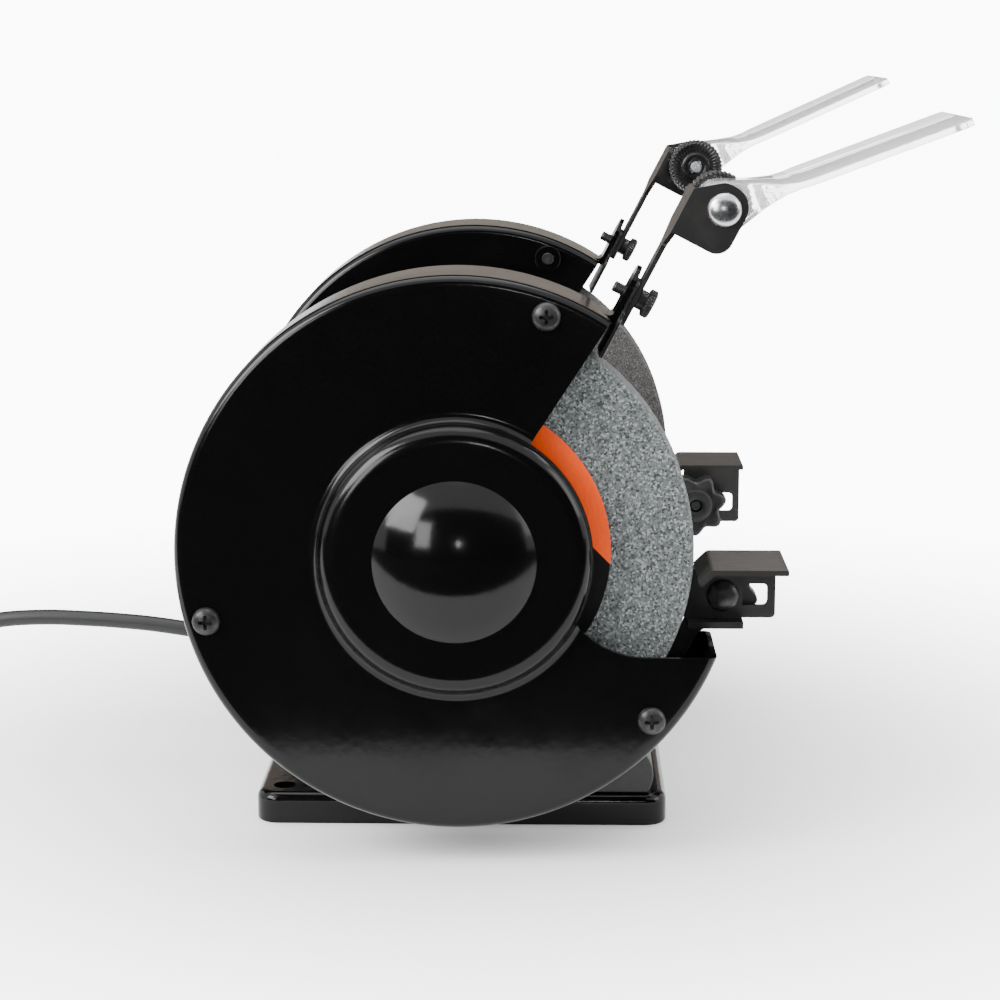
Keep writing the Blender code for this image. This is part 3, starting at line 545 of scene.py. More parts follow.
def blotterPaper(sideName):
    # printed card: black, with one segment beyond a chord left orange, and fibres in both
    made, tree, shader = newFinish("blotter_" + sideName, blotterSet["orange"], 0.6, specular=0.15)
    where = places(tree)
    angle = blotterSet["slant"] * pi / 180
    toward = node(tree, "VectorMath", operation="DOT_PRODUCT")
    toward.inputs[1].default_value = (0, -np.cos(angle), np.sin(angle))
    wire(tree, places(tree, shift=(0, 0, -shaftUp)), toward.inputs[0])
    beyond = ranged(tree, toward.outputs["Value"], blotterSet["chord"], blotterSet["chord"] + 0.0002)
    fibres = noise(tree, places(tree, scale=(1, 1, 0.3)), 900, 4, 0.7)
    orange = ramped(tree, fibres, [(0.3, (0.56, 0.046, 0.0)), (0.7, blotterSet["orange"])])
    black = ramped(tree, fibres, [(0.3, blotterSet["black"]), (0.75, (0.004, 0.004, 0.0042))])
    wire(tree, blended(tree, beyond, black, orange), shader.inputs["Base Color"])
    wire(tree, ranged(tree, fibres, 0.3, 0.7, 0.48, 0.66), shader.inputs["Roughness"])
    bumped(tree, shader, [(fibres, 0.15, 0.0002), (noise(tree, where, 60, 2, 0.5), 0.1, 0.001)])
    return made


def clearSheet(name):
    # clear polycarbonate with a trace of haze and hairline scratches
    made, tree, shader = newFinish(name, (0.985, 0.985, 0.995), 0.03)
    shader.inputs["Transmission Weight"].default_value = 0.86
    shader.inputs["IOR"].default_value = 1.46
    scratches = noise(tree, places(tree, scale=(0.03, 1, 1), turn=(0, 0, 0.4)), 900, 2, 0.8)
    wire(tree, ranged(tree, scratches, 0.64, 0.76, 0.04, 0.18), shader.inputs["Roughness"])
    bumped(tree, shader, [(noise(tree, places(tree), 34, 2, 0.4), 0.06, 0.001)])
    return made


def laminations(name):
    # a stack of stamped steel sheets, edge on
    made, tree, shader = newFinish(name, (0.3, 0.3, 0.31), 0.45, metallic=0.9)
    bands = node(tree, "TexWave", bands_direction="X", _Scale=160, _Distortion=0.3, _Detail=1.0)
    wire(tree, places(tree), bands.inputs["Vector"])
    wire(tree, ramped(tree, bands.outputs["Fac"], [(0.1, (0.07, 0.065, 0.06)), (0.6, (0.38, 0.37, 0.36))]),
         shader.inputs["Base Color"])
    bumped(tree, shader, [(bands.outputs["Fac"], 0.3, 0.0002)])
    return made


def copperWire(name):
    # varnished winding wire laid round the stator's bore
    made, tree, shader = newFinish(name, (0.45, 0.17, 0.06), 0.32, metallic=0.85, coat=0.4)
    turns = node(tree, "TexWave", wave_type="RINGS", rings_direction="X",
                 _Scale=300, _Distortion=4.0, _Detail=2.0)
    wire(tree, places(tree, shift=(0, 0, -shaftUp)), turns.inputs["Vector"])
    wire(tree, ramped(tree, turns.outputs["Fac"], [(0.1, (0.12, 0.035, 0.012)), (0.7, (0.62, 0.26, 0.1))]),
         shader.inputs["Base Color"])
    bumped(tree, shader, [(turns.outputs["Fac"], 0.5, 0.0004)])
    return made


gloss = glossEnamel("gloss_enamel")
castGloss = glossEnamel("cast_enamel", peel=3.0)
satin = satinPaint("satin_paint", (0.006, 0.0059, 0.0058))
armPaint = satinPaint("arm_paint", (0.0045, 0.0044, 0.0043), 0.26, 0.38)
rest = restSteel("rest_steel")
screwBlack = blackScrew("black_screw")
knobPlastic = moulded("knob_plastic", (0.007, 0.0072, 0.0076), 0.4, 0.54)
nutPlastic = moulded("nut_plastic", (0.002, 0.002, 0.0022), 0.24, 0.34, grain=1800, depth=0.1)
hoodPlastic = moulded("hood_plastic", (0.02, 0.0195, 0.019), 0.5, 0.65, grain=1100, depth=0.3)
rockerRed = moulded("rocker_red", (0.5, 0.012, 0.01), 0.24, 0.34, grain=2200, depth=0.05)
cordRubber = moulded("cord_rubber", (0.006, 0.006, 0.0063), 0.4, 0.56, grain=2000, depth=0.14)
machined = bareMetal("machined_steel", (0.5, 0.49, 0.47), 0.24, 0.42)
zincPlate = bareMetal("zinc_plate", (0.74, 0.75, 0.76), 0.2, 0.36, turn=(900, 900, 900), depth=0.03)
diecast = bareMetal("diecast_aluminium", (0.42, 0.42, 0.43), 0.4, 0.6, turn=(700, 700, 700), depth=0.25)
brass = bareMetal("plug_brass", (0.66, 0.5, 0.24), 0.2, 0.34)
clear = clearSheet("clear_sheet")
print("finishes mixed")


# cord

cordSet = {
    "route": [  # y and z of its centre, from the strain relief to the bench
        (90.4, 55.4), (103, 58.8), (119, 62.4), (136, 65.2), (153, 67.6), (168, 69), (182, 69.9),
        (204, 70.6), (226, 69.2), (247, 64.4), (266, 56.2), (284, 44.9), (301, 32.2), (318, 20),
        (335, 10.4), (351, 5.2), (366, 4), (373.9, 3.9),
    ],
    "radius": 3.8, "coil": (-49.7, 402.0), "outerTurn": 49.7, "turnGap": 7.65, "lift": 7.6,
    "turns": 5.5, "plugEnd": 370.9, "plugUp": 12.2, "reliefRoot": (0, 56.2, 44.6),
}


def catmullRom(points, step):
    # q(t) = half of 2b + (c - a) t + (2a - 5b + 4c - d) t^2 + (3b - a - 3c + d) t^3, between b and c
    points = np.array(points, float)
    ends = np.vstack([2 * points[:1] - points[1:2], points, 2 * points[-1:] - points[-2:-1]])
    line = []
    for a, b, c, d in zip(ends, ends[1:], ends[2:], ends[3:]):
        count = max(1, round(float(np.linalg.norm(c - b)) / step))
        t = (np.arange(count) / count)[:, None]
        line.append((2 * b + (c - a) * t + (2 * a - 5 * b + 4 * c - d) * t ** 2
                     + (3 * b - a - 3 * c + d) * t ** 3) / 2)
    return np.vstack([*line, points[-1:]])


def coilPoints():
    # three turns side by side on the bench, inwards, then a rise and the other turns above them, outwards
    turn = np.arange(0, cordSet["turns"] * 360 + 1, 15.0)
    layerEnd = 1080
    inward = smooth(turn, 250, 360) + smooth(turn, 610, 720)
    outward = smooth(turn, layerEnd + 150, layerEnd + 260) + smooth(turn, layerEnd + 510, layerEnd + 620)
    radius = cordSet["outerTurn"] - cordSet["turnGap"] * (inward - outward)
    up = cordSet["radius"] + cordSet["lift"] * smooth(turn, layerEnd - 100, layerEnd)
    middleX, middleY = cordSet["coil"]
    angle = turn * pi / 180
    return columns(middleX + radius * np.cos(angle), middleY + radius * np.sin(angle), up)


def cordLine():
    route = [(0, y, z) for y, z in cordSet["route"]] + [(0, 388, 3.8)]
    coil = coilPoints()
    endX, endY, endUp = coil[-1]
    tail = [(endX, endY - 11, endUp + 0.2), (endX, endY - 21, endUp + 0.6),
            (endX, cordSet["plugEnd"], cordSet["plugUp"])]
    return catmullRom([*route, *coil, *tail], 4.0) * mm


def addCord():
    line = cordLine()
    curve = bpy.data.curves.new("mains_cord", "CURVE")
    curve.dimensions = "3D"
    curve.bevel_depth = cordSet["radius"] * mm
    curve.bevel_resolution = 4
    curve.use_fill_caps = True
    spline = curve.splines.new("POLY")
    spline.points.add(len(line) - 1)
    spline.points.foreach_set("co", np.c_[line, np.ones(len(line))].ravel())
    cord = placed("mains_cord", curve)
    curve.materials.append(cordRubber)
    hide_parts("cord", "cord_coil")
    carried(cord, "cord")
    length = float(np.linalg.norm(np.diff(line, axis=0), axis=1).sum())
    print(f"cord is {length:.3f} m")
    return cord, line, length


reliefSet = {"start": 10.2, "radius": 7.0, "taper": 2.1, "grooveDeep": 0.9, "grooves": 6.5}


def addRelief(line):
    # a collar and a tapered sleeve, with flexing grooves cut into the taper
    f = reliefSet
    root = np.array(cordSet["reliefRoot"]) * mm
    way = line[0] - root
    length = np.linalg.norm(way) - 0.3 * mm
    h = np.linspace(f["start"] * mm, length, 90)
    share = (h - h[0]) / (length - h[0])
    grooves = smooth(np.cos(2 * pi * share * f["grooves"]), -0.2, 0.3)
    cut = (1 - grooves) * smooth(share, 0.02, 0.1) * (1 - smooth(share, 0.9, 0.98))
    r = (f["radius"] - f["taper"] * share - f["grooveDeep"] * cut) * mm
    sleeve = columns(r, h)[::-1]
    collar = inMm([(9.3, f["start"]), (9.8, 9.7), (9.8, 7.9), (9.3, 7.4), (7.2, 7.4), (7.2, -5), (0, -5)])
    relief = turned("relief_sleeve", [(0, length), *sleeve, *collar], root, way, steps=64)
    return finished(relief, "strain_relief", cordRubber)


def alongBack(start, reach, sections):
    # flat sections (x, z) set at distances reach from start, towards -y, in metres
    points = np.empty((*sections.shape[:2], 3))
    points[..., 0] = start[0] + sections[..., 0]
    points[..., 1] = start[1] - reach[:, None]
    points[..., 2] = start[2] + sections[..., 1]
    return points * mm


plugSet = {"back": 359.4, "length": 36.0, "stubRadius": 5.2, "stubLength": 11.2,
           "ribDeep": 0.7, "ribGap": 2.4, "bladeOut": 6.35, "bladeUp": 4.2, "earthDown": 6.5}


def addPlug():
    # a moulded plug: lofted rounded body, ribbed stub, two blades and an earth pin
    p = plugSet
    middleX = cordSet["coil"][0] - cordSet["outerTurn"]
    back, middleUp = p["back"], cordSet["plugUp"]
    y = np.array([0, 0.4, 1.4, 3.5, 9, 16, 22, 28, 32, 34.4, 35.6, 36.0])
    wide = np.array([8.4, 10.2, 11.6, 12.3, 12.7, 12.9, 13.0, 13.0, 13.0, 12.7, 11.8, 10.8])
    tall = np.array([7.4, 9.2, 10.6, 11.3, 11.7, 11.9, 12.1, 12.1, 12.1, 11.8, 10.9, 9.9])
    section = roundedRect(wide, tall, np.minimum(wide, tall) * 0.52, arc=8)
    body = lofted("mains_plug", alongBack((middleX, back, middleUp), y, section))
    h = np.linspace(0, p["stubLength"], 40)
    ribs = smooth(np.cos(2 * pi * h / p["ribGap"]), -0.3, 0.3)
    r = p["stubRadius"] - p["ribDeep"] * ribs * smooth(h, 1, 2) * (1 - smooth(h, 9.8, 10.6))
    stubLine = columns(r, h)[::-1]
    stubLine = np.vstack([[(0, p["stubLength"])], stubLine, [(p["stubRadius"], -3), (0, -3)]])
    stub = turned("stub", stubLine * mm,
                  (middleX * mm, back * mm, middleUp * mm), (0, 1, 0), steps=48)
    joinedMeshes(body, [stub])
    body = finished(body, "plug", knobPlastic, angle=40)
    face = back - p["length"]
    pins = []
    for dx in (-p["bladeOut"], p["bladeOut"]):
        start = (middleX + dx, face + 2, middleUp + p["bladeUp"])
        flat = roundedRect((0.75, 0.75, 0.45), (3.2, 3.2, 2.7), 0.3, arc=2)
        pins.append(lofted("blade", alongBack(start, np.array([0, 18.2, 19.0]), flat)))
    earth = turned("earth", inMm([(0, 19), (1.3, 18.8), (2.1, 17.8), (2.4, 16.4), (2.4, -2), (0, -2)]),
                   (middleX * mm, face * mm, (middleUp - p["earthDown"]) * mm),
                   (0, -1, 0), steps=32)
    blades = joinedMeshes(pins[0], [pins[1], earth])
    blades.name = "plug_pins"
    shaded(blades, brass, 0.6)
    carried(blades, "plug")
    return body, blades


tieSet = {"fromMiddle": 42.0, "up": 8.05, "loop": (12.2, 7.55, 3.6), "strap": (2.6, 0.5, 0.3)}


def addTie():
    # a strap round the coil's bundle: a flat section carried round a rounded rectangle
    t = tieSet
    middleX, middleY = cordSet["coil"]
    outward = np.array((0, 1.0, 0))
    loopLine = roundedRect(*t["loop"], arc=8)[0]
    centre = np.array((middleX, middleY, t["up"])) + t["fromMiddle"] * outward
    path = centre + loopLine[:, :1] * outward + loopLine[:, 1:] * np.array((0, 0, 1.0))
    slope = np.roll(loopLine, -1, axis=0) - np.roll(loopLine, 1, axis=0)
    slope /= np.linalg.norm(slope, axis=1)[:, None]
    away = columns(slope[:, 1], -slope[:, 0])
    normal = away[:, :1] * outward + away[:, 1:] * np.array((0, 0, 1.0))
    section = roundedRect(*t["strap"], arc=2)[0]
    points = (path[:, None, :] + section[None, :, :1] * np.array((1.0, 0, 0))
              + section[None, :, 1:] * normal[:, None, :])
    tie = solid("cord_tie", points * mm, gridFaces(len(path), len(section), True, True))
    shaded(tie, knobPlastic, 0.7)
    carried(tie, "cord")
    return tie


mainsCord, cordPath, cordLength = addCord()
reliefPiece = addRelief(cordPath)
plugPiece, plugPins = addPlug()
tiePiece = addTie()
print("cord laid")


# guards

guardSet = {
    "radius": 117.5, "coverFace": 157.5, "plateFace": 107.5, "sheet": 2.0, "edge": 4.0, "lip": 151.0,
    "drumStart": 150.7, "opening": 22.0, "screwCircle": 107.6, "screwAngles": (69.5, 194.7, -40),
    "mouthTop": 57, "mouthLow": -28.2, "mouthInner": 57.5, "mouthFloor": -42.4,
    "cornerRadius": 37.6, "cornerFront": 80.0,
    "domeRadius": 34.0, "domeRise": 12.0, "bossHeight": 9.0, "bossFlat": 48.0, "bossReach": 9.4,
    "bossPower": 2.4, "filletStart": (56.8, 4.04), "filletEnd": 61.5, "steps": 240,
}


def screwPlaces():
    angles = np.radians(guardSet["screwAngles"])
    radius = guardSet["screwCircle"]
    return [(radius * np.cos(a) * mm, radius * np.sin(a) * mm) for a in angles]


def coverLine():
    # sphere cap, flat ring, superellipse shoulder, hollow fillet, flat plate, quarter-round edge, lip
    g = guardSet
    face = g["coverFace"]
    sphere = (g["domeRadius"] ** 2 + g["domeRise"] ** 2) / (2 * g["domeRise"])
    a = np.linspace(0, np.arcsin(g["domeRadius"] / sphere), 26)
    peak = face + g["bossHeight"] + g["domeRise"]
    dome = columns(sphere * np.sin(a), peak - sphere * (1 - np.cos(a)))
    ring = columns(np.linspace(34.5, g["bossFlat"] - 0.6, 4), face + g["bossHeight"])
    t = np.linspace(0.12, 67.5 * pi / 180, 14)
    power = 2 / g["bossPower"]
    shoulder = columns(g["bossFlat"] + g["bossReach"] * np.sin(t) ** power,
                       face + g["bossHeight"] * np.cos(t) ** power)
    s = np.linspace(0.2, pi / 2, 9)
    startR, startH = g["filletStart"]
    fillet = columns(g["filletEnd"] - (g["filletEnd"] - startR) * np.cos(s),
                     face + startH * (1 - np.sin(s)))
    middle = g["radius"] - g["edge"]
    flat = columns(np.linspace(70, middle - 2, 6), face)
    q = np.linspace(0, pi / 2, 9)
    edge = columns(middle + g["edge"] * np.sin(q), face - g["edge"] * (1 - np.cos(q)))
    return np.vstack([dome, ring, shoulder, fillet, flat, edge, [(g["radius"], g["lip"])]]) * mm


def housingLine():
    g = guardSet
    middle = g["radius"] - g["edge"]
    q = np.linspace(pi / 2, 0, 9)
    edge = columns(middle + g["edge"] * np.sin(q), g["plateFace"] + g["edge"] * (1 - np.cos(q)))
    plate = [(90, g["plateFace"]), (g["opening"], g["plateFace"])]
    return np.vstack([[(g["radius"], g["drumStart"])], edge, plate]) * mm


def mouthOutline():
    # a radial top edge, an arc round the boss, a hollow corner and a level floor
    g = guardSet
    far = 145.0
    top, low = np.radians(g["mouthTop"]), np.radians(g["mouthLow"])
    arc = np.linspace(top, low, 40)
    inner = g["mouthInner"] * columns(np.cos(arc), np.sin(arc))
    corner = np.array((g["cornerFront"], g["mouthFloor"] + g["cornerRadius"]))
    start = np.arctan2(inner[-1, 1] - corner[1], inner[-1, 0] - corner[0]) % (2 * pi)
    turn = np.linspace(start, 1.5 * pi, 16)[1:]
    hollow = corner + g["cornerRadius"] * columns(np.cos(turn), np.sin(turn))
    tip = far * np.array((np.cos(top), np.sin(top)))
    return np.vstack([[tip], inner, hollow, [(far, g["mouthFloor"]), (far, tip[1])]]) * mm


def mouthCutter(side):
    return sidePlate("mouth", mouthOutline(), side * 90 * mm, side * 172 * mm)


def screwHoles(side, radius=3.4):
    return [sideBar("hole", radius * mm, side, 0.1, 0.17, f, u, steps=32) for f, u in screwPlaces()]


def crossRecess(axisPoint, side, reach, wide, depth):
    # two crossed wedges for a driver, cut into a screw's head
    front, up, face = axisPoint
    cutters = []
    for across in ((0, -1, 0), (0, 0, 1)):
        a = roundedRect(reach, wide, wide * 0.5, arc=3)[0]
        b = roundedRect(reach * 0.55, wide * 0.7, wide * 0.35, arc=3)[0]
        other = np.cross((side, 0, 0), across)
        origin = np.array((side * face, -front, shaftUp + up))
        rows = []
        for flat, h in ((a, 1.0 * mm), (a, 0), (b, -depth)):
            outline = flat[:, :1] * np.array(across) + flat[:, 1:] * other
            rows.append(origin + outline + np.array((side * h, 0, 0)))
        cutters.append(lofted("cross", np.array(rows)))
    return cutters


# the nuts welded inside the housing for the cover's screws
weldNutSet = {"radius": 6.5, "bore": 3.3, "low": 0.1035, "high": 0.1085}


def addGuard(sideName, side):
    g, n = guardSet, weldNutSet
    wall = wallFrom(coverLine(), g["sheet"] * mm)
    cover = onShaft("cover_" + sideName, wall, side, steps=g["steps"])
    combined(cover, [mouthCutter(side), *screwHoles(side)])
    finished(cover, "guard_cover_" + sideName, gloss, edge=0.28 * mm, angle=30)

    wall = wallFrom(housingLine(), g["sheet"] * mm)
    drum = onShaft("drum_" + sideName, wall, side, steps=g["steps"], loop=True)
    combined(drum, [mouthCutter(side), *screwHoles(side)])
    nuts = []
    for front, up in screwPlaces():
        nut = sideBar("nut", n["radius"] * mm, side, n["low"], n["high"], front, up)
        bore = sideBar("bore", n["bore"] * mm, side, n["low"] - 0.0015, n["high"] + 0.0015, front, up)
        combined(nut, [bore])
        nut.modifiers.new("edge", "BEVEL").width = 0.4 * mm
        nuts.append(applied(nut))
    joinedMeshes(drum, [*nuts, guardTab(side)])
    finished(drum, "guard_housing_" + sideName, gloss, edge=0.22 * mm, angle=30)


def guardTab(side):
    # the guard's sheet carried out past the rim, bent up to carry the shield's arm, with a rounded end
    section = roundCorners([(7, 115.4, 0), (7, 117.3, 0), (12, 117.3, 2.6), (12, 141, 0), (14, 141, 0),
                            (14, 115.4, 0)], 6)
    origin = onArm(side * shieldX, 0, 0)
    tab = stretched("tab", section, -10 * mm, 10 * mm, origin, outDir, alongDir)
    plan = roundCorners([(-10, 117.0, 0), (10, 117.0, 0), (10, 141, 9.9), (-10, 141, 9.9)], 14)
    plan = np.vstack([[(-0.0101, 0.110), (0.0101, 0.110)], plan[1:]])
    shape = stretched("shape", plan, 5 * mm, 16 * mm, origin, (1, 0, 0), alongDir)
    combined(tab, [shape], "INTERSECT")
    ends = (onArm(side * shieldX, 128.6 * mm, out * mm) for out in (9, 17))
    return combined(tab, [bar("hole", 2.8 * mm, *ends)])


screwSet = {"radius": 6.0, "under": 157.9, "rise": 3.5, "end": 102.5, "recess": (3.3, 0.75, 2.4)}


def addScrews(sideName, side):
    s = screwSet
    reach, wide, depth = inMm([s["recess"]])[0]
    for number, (front, up) in enumerate(screwPlaces(), 1):
        a = np.linspace(0, pi / 2, 12)
        head = columns(s["radius"] * np.sin(a) ** 0.8, s["under"] + s["rise"] * np.cos(a) ** 0.9)
        shank = [(s["radius"], 157.8), (3, 157.8), (3, 103), (2.6, s["end"]), (0, s["end"])]
        line = np.vstack([head, shank]) * mm
        line[0, 0] = 0
        screw = turned(f"pan_screw_{sideName}_{number}", line,
                       (0, -front, shaftUp + up), (side, 0, 0), steps=56)
        combined(screw, crossRecess((front, up, (s["under"] + s["rise"]) * mm), side, reach, wide, depth))
        finished(screw, f"cover_screw_{sideName}_{number}", screwBlack, angle=28)


# shield arms' own directions: along runs up and forward beside the mouth, out is square to it
armTilt = 62.5 * pi / 180
alongDir = np.array((0, -np.cos(armTilt), np.sin(armTilt)))
outDir = np.array((0, -np.sin(armTilt), -np.cos(armTilt)))
shieldX = 130 * mm
bracketLift = {"left": 0.0, "right": 4.6 * mm}
shieldTilt = {"left": 20.5, "right": 24.5}


def onArm(x, along, out):
    return np.array((x, 0, shaftUp)) + alongDir * along + outDir * out


def armSheet(name, outline, side, outLow, outHigh, lift=0.0):
    # a plate lying along the arm, its outline given across from the arm's middle and along it
    origin = onArm(side * shieldX, lift, (outLow + outHigh) / 2 * mm)
    half = (outHigh - outLow) / 2 * mm
    return stretched(name, outline, -half, half, origin, (1, 0, 0), alongDir)


for sideName, side in sides.items():
    addGuard(sideName, side)
    addScrews(sideName, side)
print("guards and screws made")


# wheels and what holds them

wheelSet = {"radius": 100.0, "inner": 117.6, "outer": 142.6, "bore": 8.2, "corner": 0.9, "steps": 480,
            "grain": {"left": (7, 0.16), "right": (11, 0.096)}}  # seed and depth of the rim's pits


def addWheel(sideName, side):
    w = wheelSet
    corner = w["corner"]
    q = np.linspace(0, pi / 2, 5)
    faceR = np.linspace(w["bore"], w["radius"] - corner, 34)
    rimX = np.linspace(w["outer"] - corner, w["inner"] + corner, 14)
    top = columns(faceR, w["outer"])
    cornerTop = columns(w["radius"] - corner + corner * np.sin(q),
                        w["outer"] - corner + corner * np.cos(q))[1:-1]
    rim = columns(w["radius"], rimX)
    width = (0, w["inner"] + w["outer"])  # a height taken from it is mirrored through the wheel's middle
    profile = np.vstack([top, cornerTop, rim, cornerTop[::-1] * (1, -1) + width,
                         top[::-1] * (1, -1) + width]) * mm
    seed, depth = w["grain"][sideName]
    random = np.random.default_rng(seed)

    def grain(r, h, u):
        # each grid point sinks by its own small random depth, most at the rim
        pits = random.random(r.shape) ** 2 * depth * mm
        outside = smooth(r, 0.094, 0.0995)
        middle = (w["inner"] + w["outer"]) / 2 * mm
        return r - pits * outside, h - np.sign(h - middle) * pits * 0.5 * smooth(r, 0.06, 0.066)

    wheel = onShaft("stone_" + sideName, profile, side, steps=w["steps"], loop=True, change=grain)
    finished(wheel, "wheel_" + sideName, gritStone(sideName), angle=60)
    paper = inMm([(w["bore"], 142.9), (w["bore"], 143.5), (60, 143.5), (64.8, 143.5),
                  (65, 143.35), (65, 142.9)])
    disc = onShaft("paper_" + sideName, paper, side, steps=160, loop=True)
    finished(disc, "blotter_" + sideName, blotterPaper(sideName), angle=30)


nutSet = {"corner": 13.6, "low": 149.6, "high": 158.6}


def addFlanges(sideName, side):
    cup = inMm([(8.2, 143.8), (8.2, 149.3), (15, 149.3), (17, 148.4), (27, 148.0), (30, 147.0), (33.4, 146.6),
                (34, 146.0), (34, 143.8), (29, 143.8), (28, 144.6), (9, 144.6)])
    outer = onShaft("clamp_flange_" + sideName, cup, side, steps=120, loop=True)
    finished(outer, "flange_outer_" + sideName, machined, edge=0.25 * mm)
    back = inMm([(8.2, 110.6), (14, 110.6), (16, 111.6), (28, 112.6), (32, 114.2), (34, 115.2), (34, 117.3),
                 (29, 117.3), (28, 116.5), (8.2, 116.5)])
    inner = onShaft("back_flange_" + sideName, back, side, steps=120, loop=True)
    finished(inner, "flange_inner_" + sideName, machined, edge=0.25 * mm)
    hexagon = np.arange(6) * pi / 3 + pi / 6
    outline = nutSet["corner"] * mm * columns(np.cos(hexagon), np.sin(hexagon))
    nut = sidePlate("lock_nut_" + sideName, outline, side * nutSet["low"] * mm, side * nutSet["high"] * mm)
    cone = turned("chamfer", inMm([(0, 9.0), (11.9, 9.0), (13.8, 7.9), (13.8, -0.1), (0, -0.1)]),
                  (side * nutSet["low"] * mm, 0, shaftUp), (side, 0, 0), steps=96)
    combined(nut, [cone], "INTERSECT")
    combined(nut, [sideBar("bore", 8.2 * mm, side, 0.148, 0.16, 0, 0, steps=64)])
    finished(nut, "arbor_nut_" + sideName, machined, edge=0.2 * mm)


def addShaft():
    # stepped spindle with fine threads on both ends
    tip = [(7.0, 162.0), (7.9, 161.1)]
    h = np.linspace(161.0, 146.0, 101)
    thread = columns(7.45 + 0.45 * np.cos(2 * pi * h / 1.5), h)
    shoulders = [(7.9, 145.5), (7.9, 110.2), (8.2, 109.9), (8.2, 88), (11, 86)]
    upper = np.vstack([tip, thread, shoulders])
    profile = np.vstack([[(0, 162.0)], upper, upper[::-1] * (1, -1), [(0, -162.0)]]) * mm
    spindle = onShaft("spindle", profile, 1, steps=64)
    finished(spindle, "shaft", machined, angle=40)


for sideName, side in sides.items():
    addWheel(sideName, side)
    addFlanges(sideName, side)
addShaft()
print("wheels made")


# tool rests

restSet = {"inner": 107.2, "outer": 149.5, "sheet": 2.3, "top": -6.5, "boltFront": 114.5, "boltUp": -25.7}


def addRest(sideName, side):
    # a sheet with a lip bent down by the wheel and a slotted web bent down its inner side
    r = restSet
    top = r["top"]
    section = roundCorners([(101.6, top - 5.6, 0.5), (107.4, top, 3.0), (139.5, top, 0.4),
                            (139.5, top - 2.3, 0.4), (108.3, top - 2.3, 0.8), (103.2, top - 7.2, 0.5)], 5)
    table = sidePlate("rest_table_" + sideName, section, side * r["inner"] * mm, side * r["outer"] * mm)
    webLine = roundCorners([(108.6, top - 0.3, 0), (108.6, -17, 1), (96.5, -17, 2), (96.5, -36, 2),
                            (137.5, -36, 2), (137.5, top - 0.3, 0)], 6)
    web = sidePlate("web", webLine, side * r["inner"] * mm, side * (r["inner"] + r["sheet"]) * mm)
    slotLine = roundCorners([(99.5, -20.9, 2), (134, -20.9, 2), (134, -30.5, 2), (99.5, -30.5, 2)], 6)
    slot = sidePlate("slot", slotLine, side * 105 * mm, side * 112 * mm)
    combined(table, [web], "UNION")
    combined(table, [slot])
    finished(table, "tool_rest_" + sideName, rest, edge=0.3 * mm)


def addRestArm(sideName, side):
    low, high = (restSet["inner"] + restSet["sheet"] + 0.3), 112.3
    leg = roundCorners([(99, -14, 1), (123, -14, 2), (123, -38.5, 0.5), (110, -38.5, 2), (103.8, -42, 3),
                        (100.5, -49, 3), (92, -62.5, 3), (81, -56, 4), (90, -43, 4), (97, -38, 3),
                        (99, -33, 2)], 6)
    arm = sidePlate("rest_leg_" + sideName, leg, side * low * mm, side * high * mm)
    shelf = [(99, -35.5, 0.2), (123, -35.5, 0.2), (123, -38.5, 0.2), (99, -38.5, 0.2)]
    flange = sidePlate("shelf", roundCorners(shelf, 2), side * low * mm, side * 120.5 * mm)
    hole = sideBar("hole", 3.3 * mm, side, 0.105, 0.115, restSet["boltFront"] * mm, restSet["boltUp"] * mm)
    combined(arm, [flange], "UNION")
    combined(arm, [hole])
    finished(arm, "rest_arm_" + sideName, satin, edge=0.35 * mm)


restKnobSet = {"radius": 14.2, "low": 96.7, "high": 105.7, "faceRound": 2.2, "backRound": 1.2,
               "lobe": 1.75, "lobes": 7}


def addRestClamp(sideName, side):
    k = restKnobSet
    front, up = restSet["boltFront"] * mm, restSet["boltUp"] * mm
    axis = (0, -front, shaftUp + up)
    a = np.linspace(0, pi / 2, 10)
    head = columns(6.9 * np.sin(a), 112.9 + 3.7 * np.cos(a))
    thread = np.linspace(109, 97, 81)
    shank = columns(2.8 + 0.2 * np.cos(2 * pi * thread / 1.0), thread)
    line = np.vstack([head, [(7, 112.6), (3, 112.6)], shank, [(2.4, 96), (0, 96)]]) * mm
    line[0, 0] = 0
    bolt = turned("coach_bolt_" + sideName, line, axis, (side, 0, 0), steps=48)
    finished(bolt, "rest_bolt_" + sideName, screwBlack, angle=40)

    # star knob: r = lobes around, h = a rounded rim, a raised ring on the face and a dished middle
    v = np.linspace(0, 1, 15)
    rim = columns(k["radius"] - k["faceRound"] * (1 - np.sin(v * pi / 2)),
                  k["low"] - k["faceRound"] * np.sin(pi / 2 - v * pi / 2))
    face = inMm([(3.3, 106.9), (3.3, 94.9), (4.2, 94.5), (7.2, 94.5), (8.2, 94.9), (8.7, 95.5), (10, 95.3)])
    back = columns(k["radius"] - k["backRound"] * (1 - np.cos(v * pi / 2)),
                   k["high"] + k["backRound"] * np.sin(v * pi / 2))
    profile = np.vstack([face, rim * mm, back * mm])

    def lobes(r, h, u):
        # the rim swells seven times round, and the swell fades towards the middle
        return r + k["lobe"] * mm * smooth(r, 8.5 * mm, 14 * mm) * np.cos(k["lobes"] * u), h

    knob = turned("star_knob_" + sideName, profile, axis, (side, 0, 0), steps=210, loop=True, change=lobes)
    finished(knob, "rest_knob_" + sideName, knobPlastic, angle=38)


for sideName, side in sides.items():
    addRest(sideName, side)
    addRestArm(sideName, side)
    addRestClamp(sideName, side)
print("tool rests made")


# spark deflectors, brackets and eye shields

shieldSet = {"pivotAlong": 178.2, "pivotOut": 31.3, "length": 103.5, "width": 86.0, "thick": 3.0,
             "knuckle": 10.5, "knuckleLow": 106.8, "knuckleHigh": 146.7, "clampAlong": 128.6}


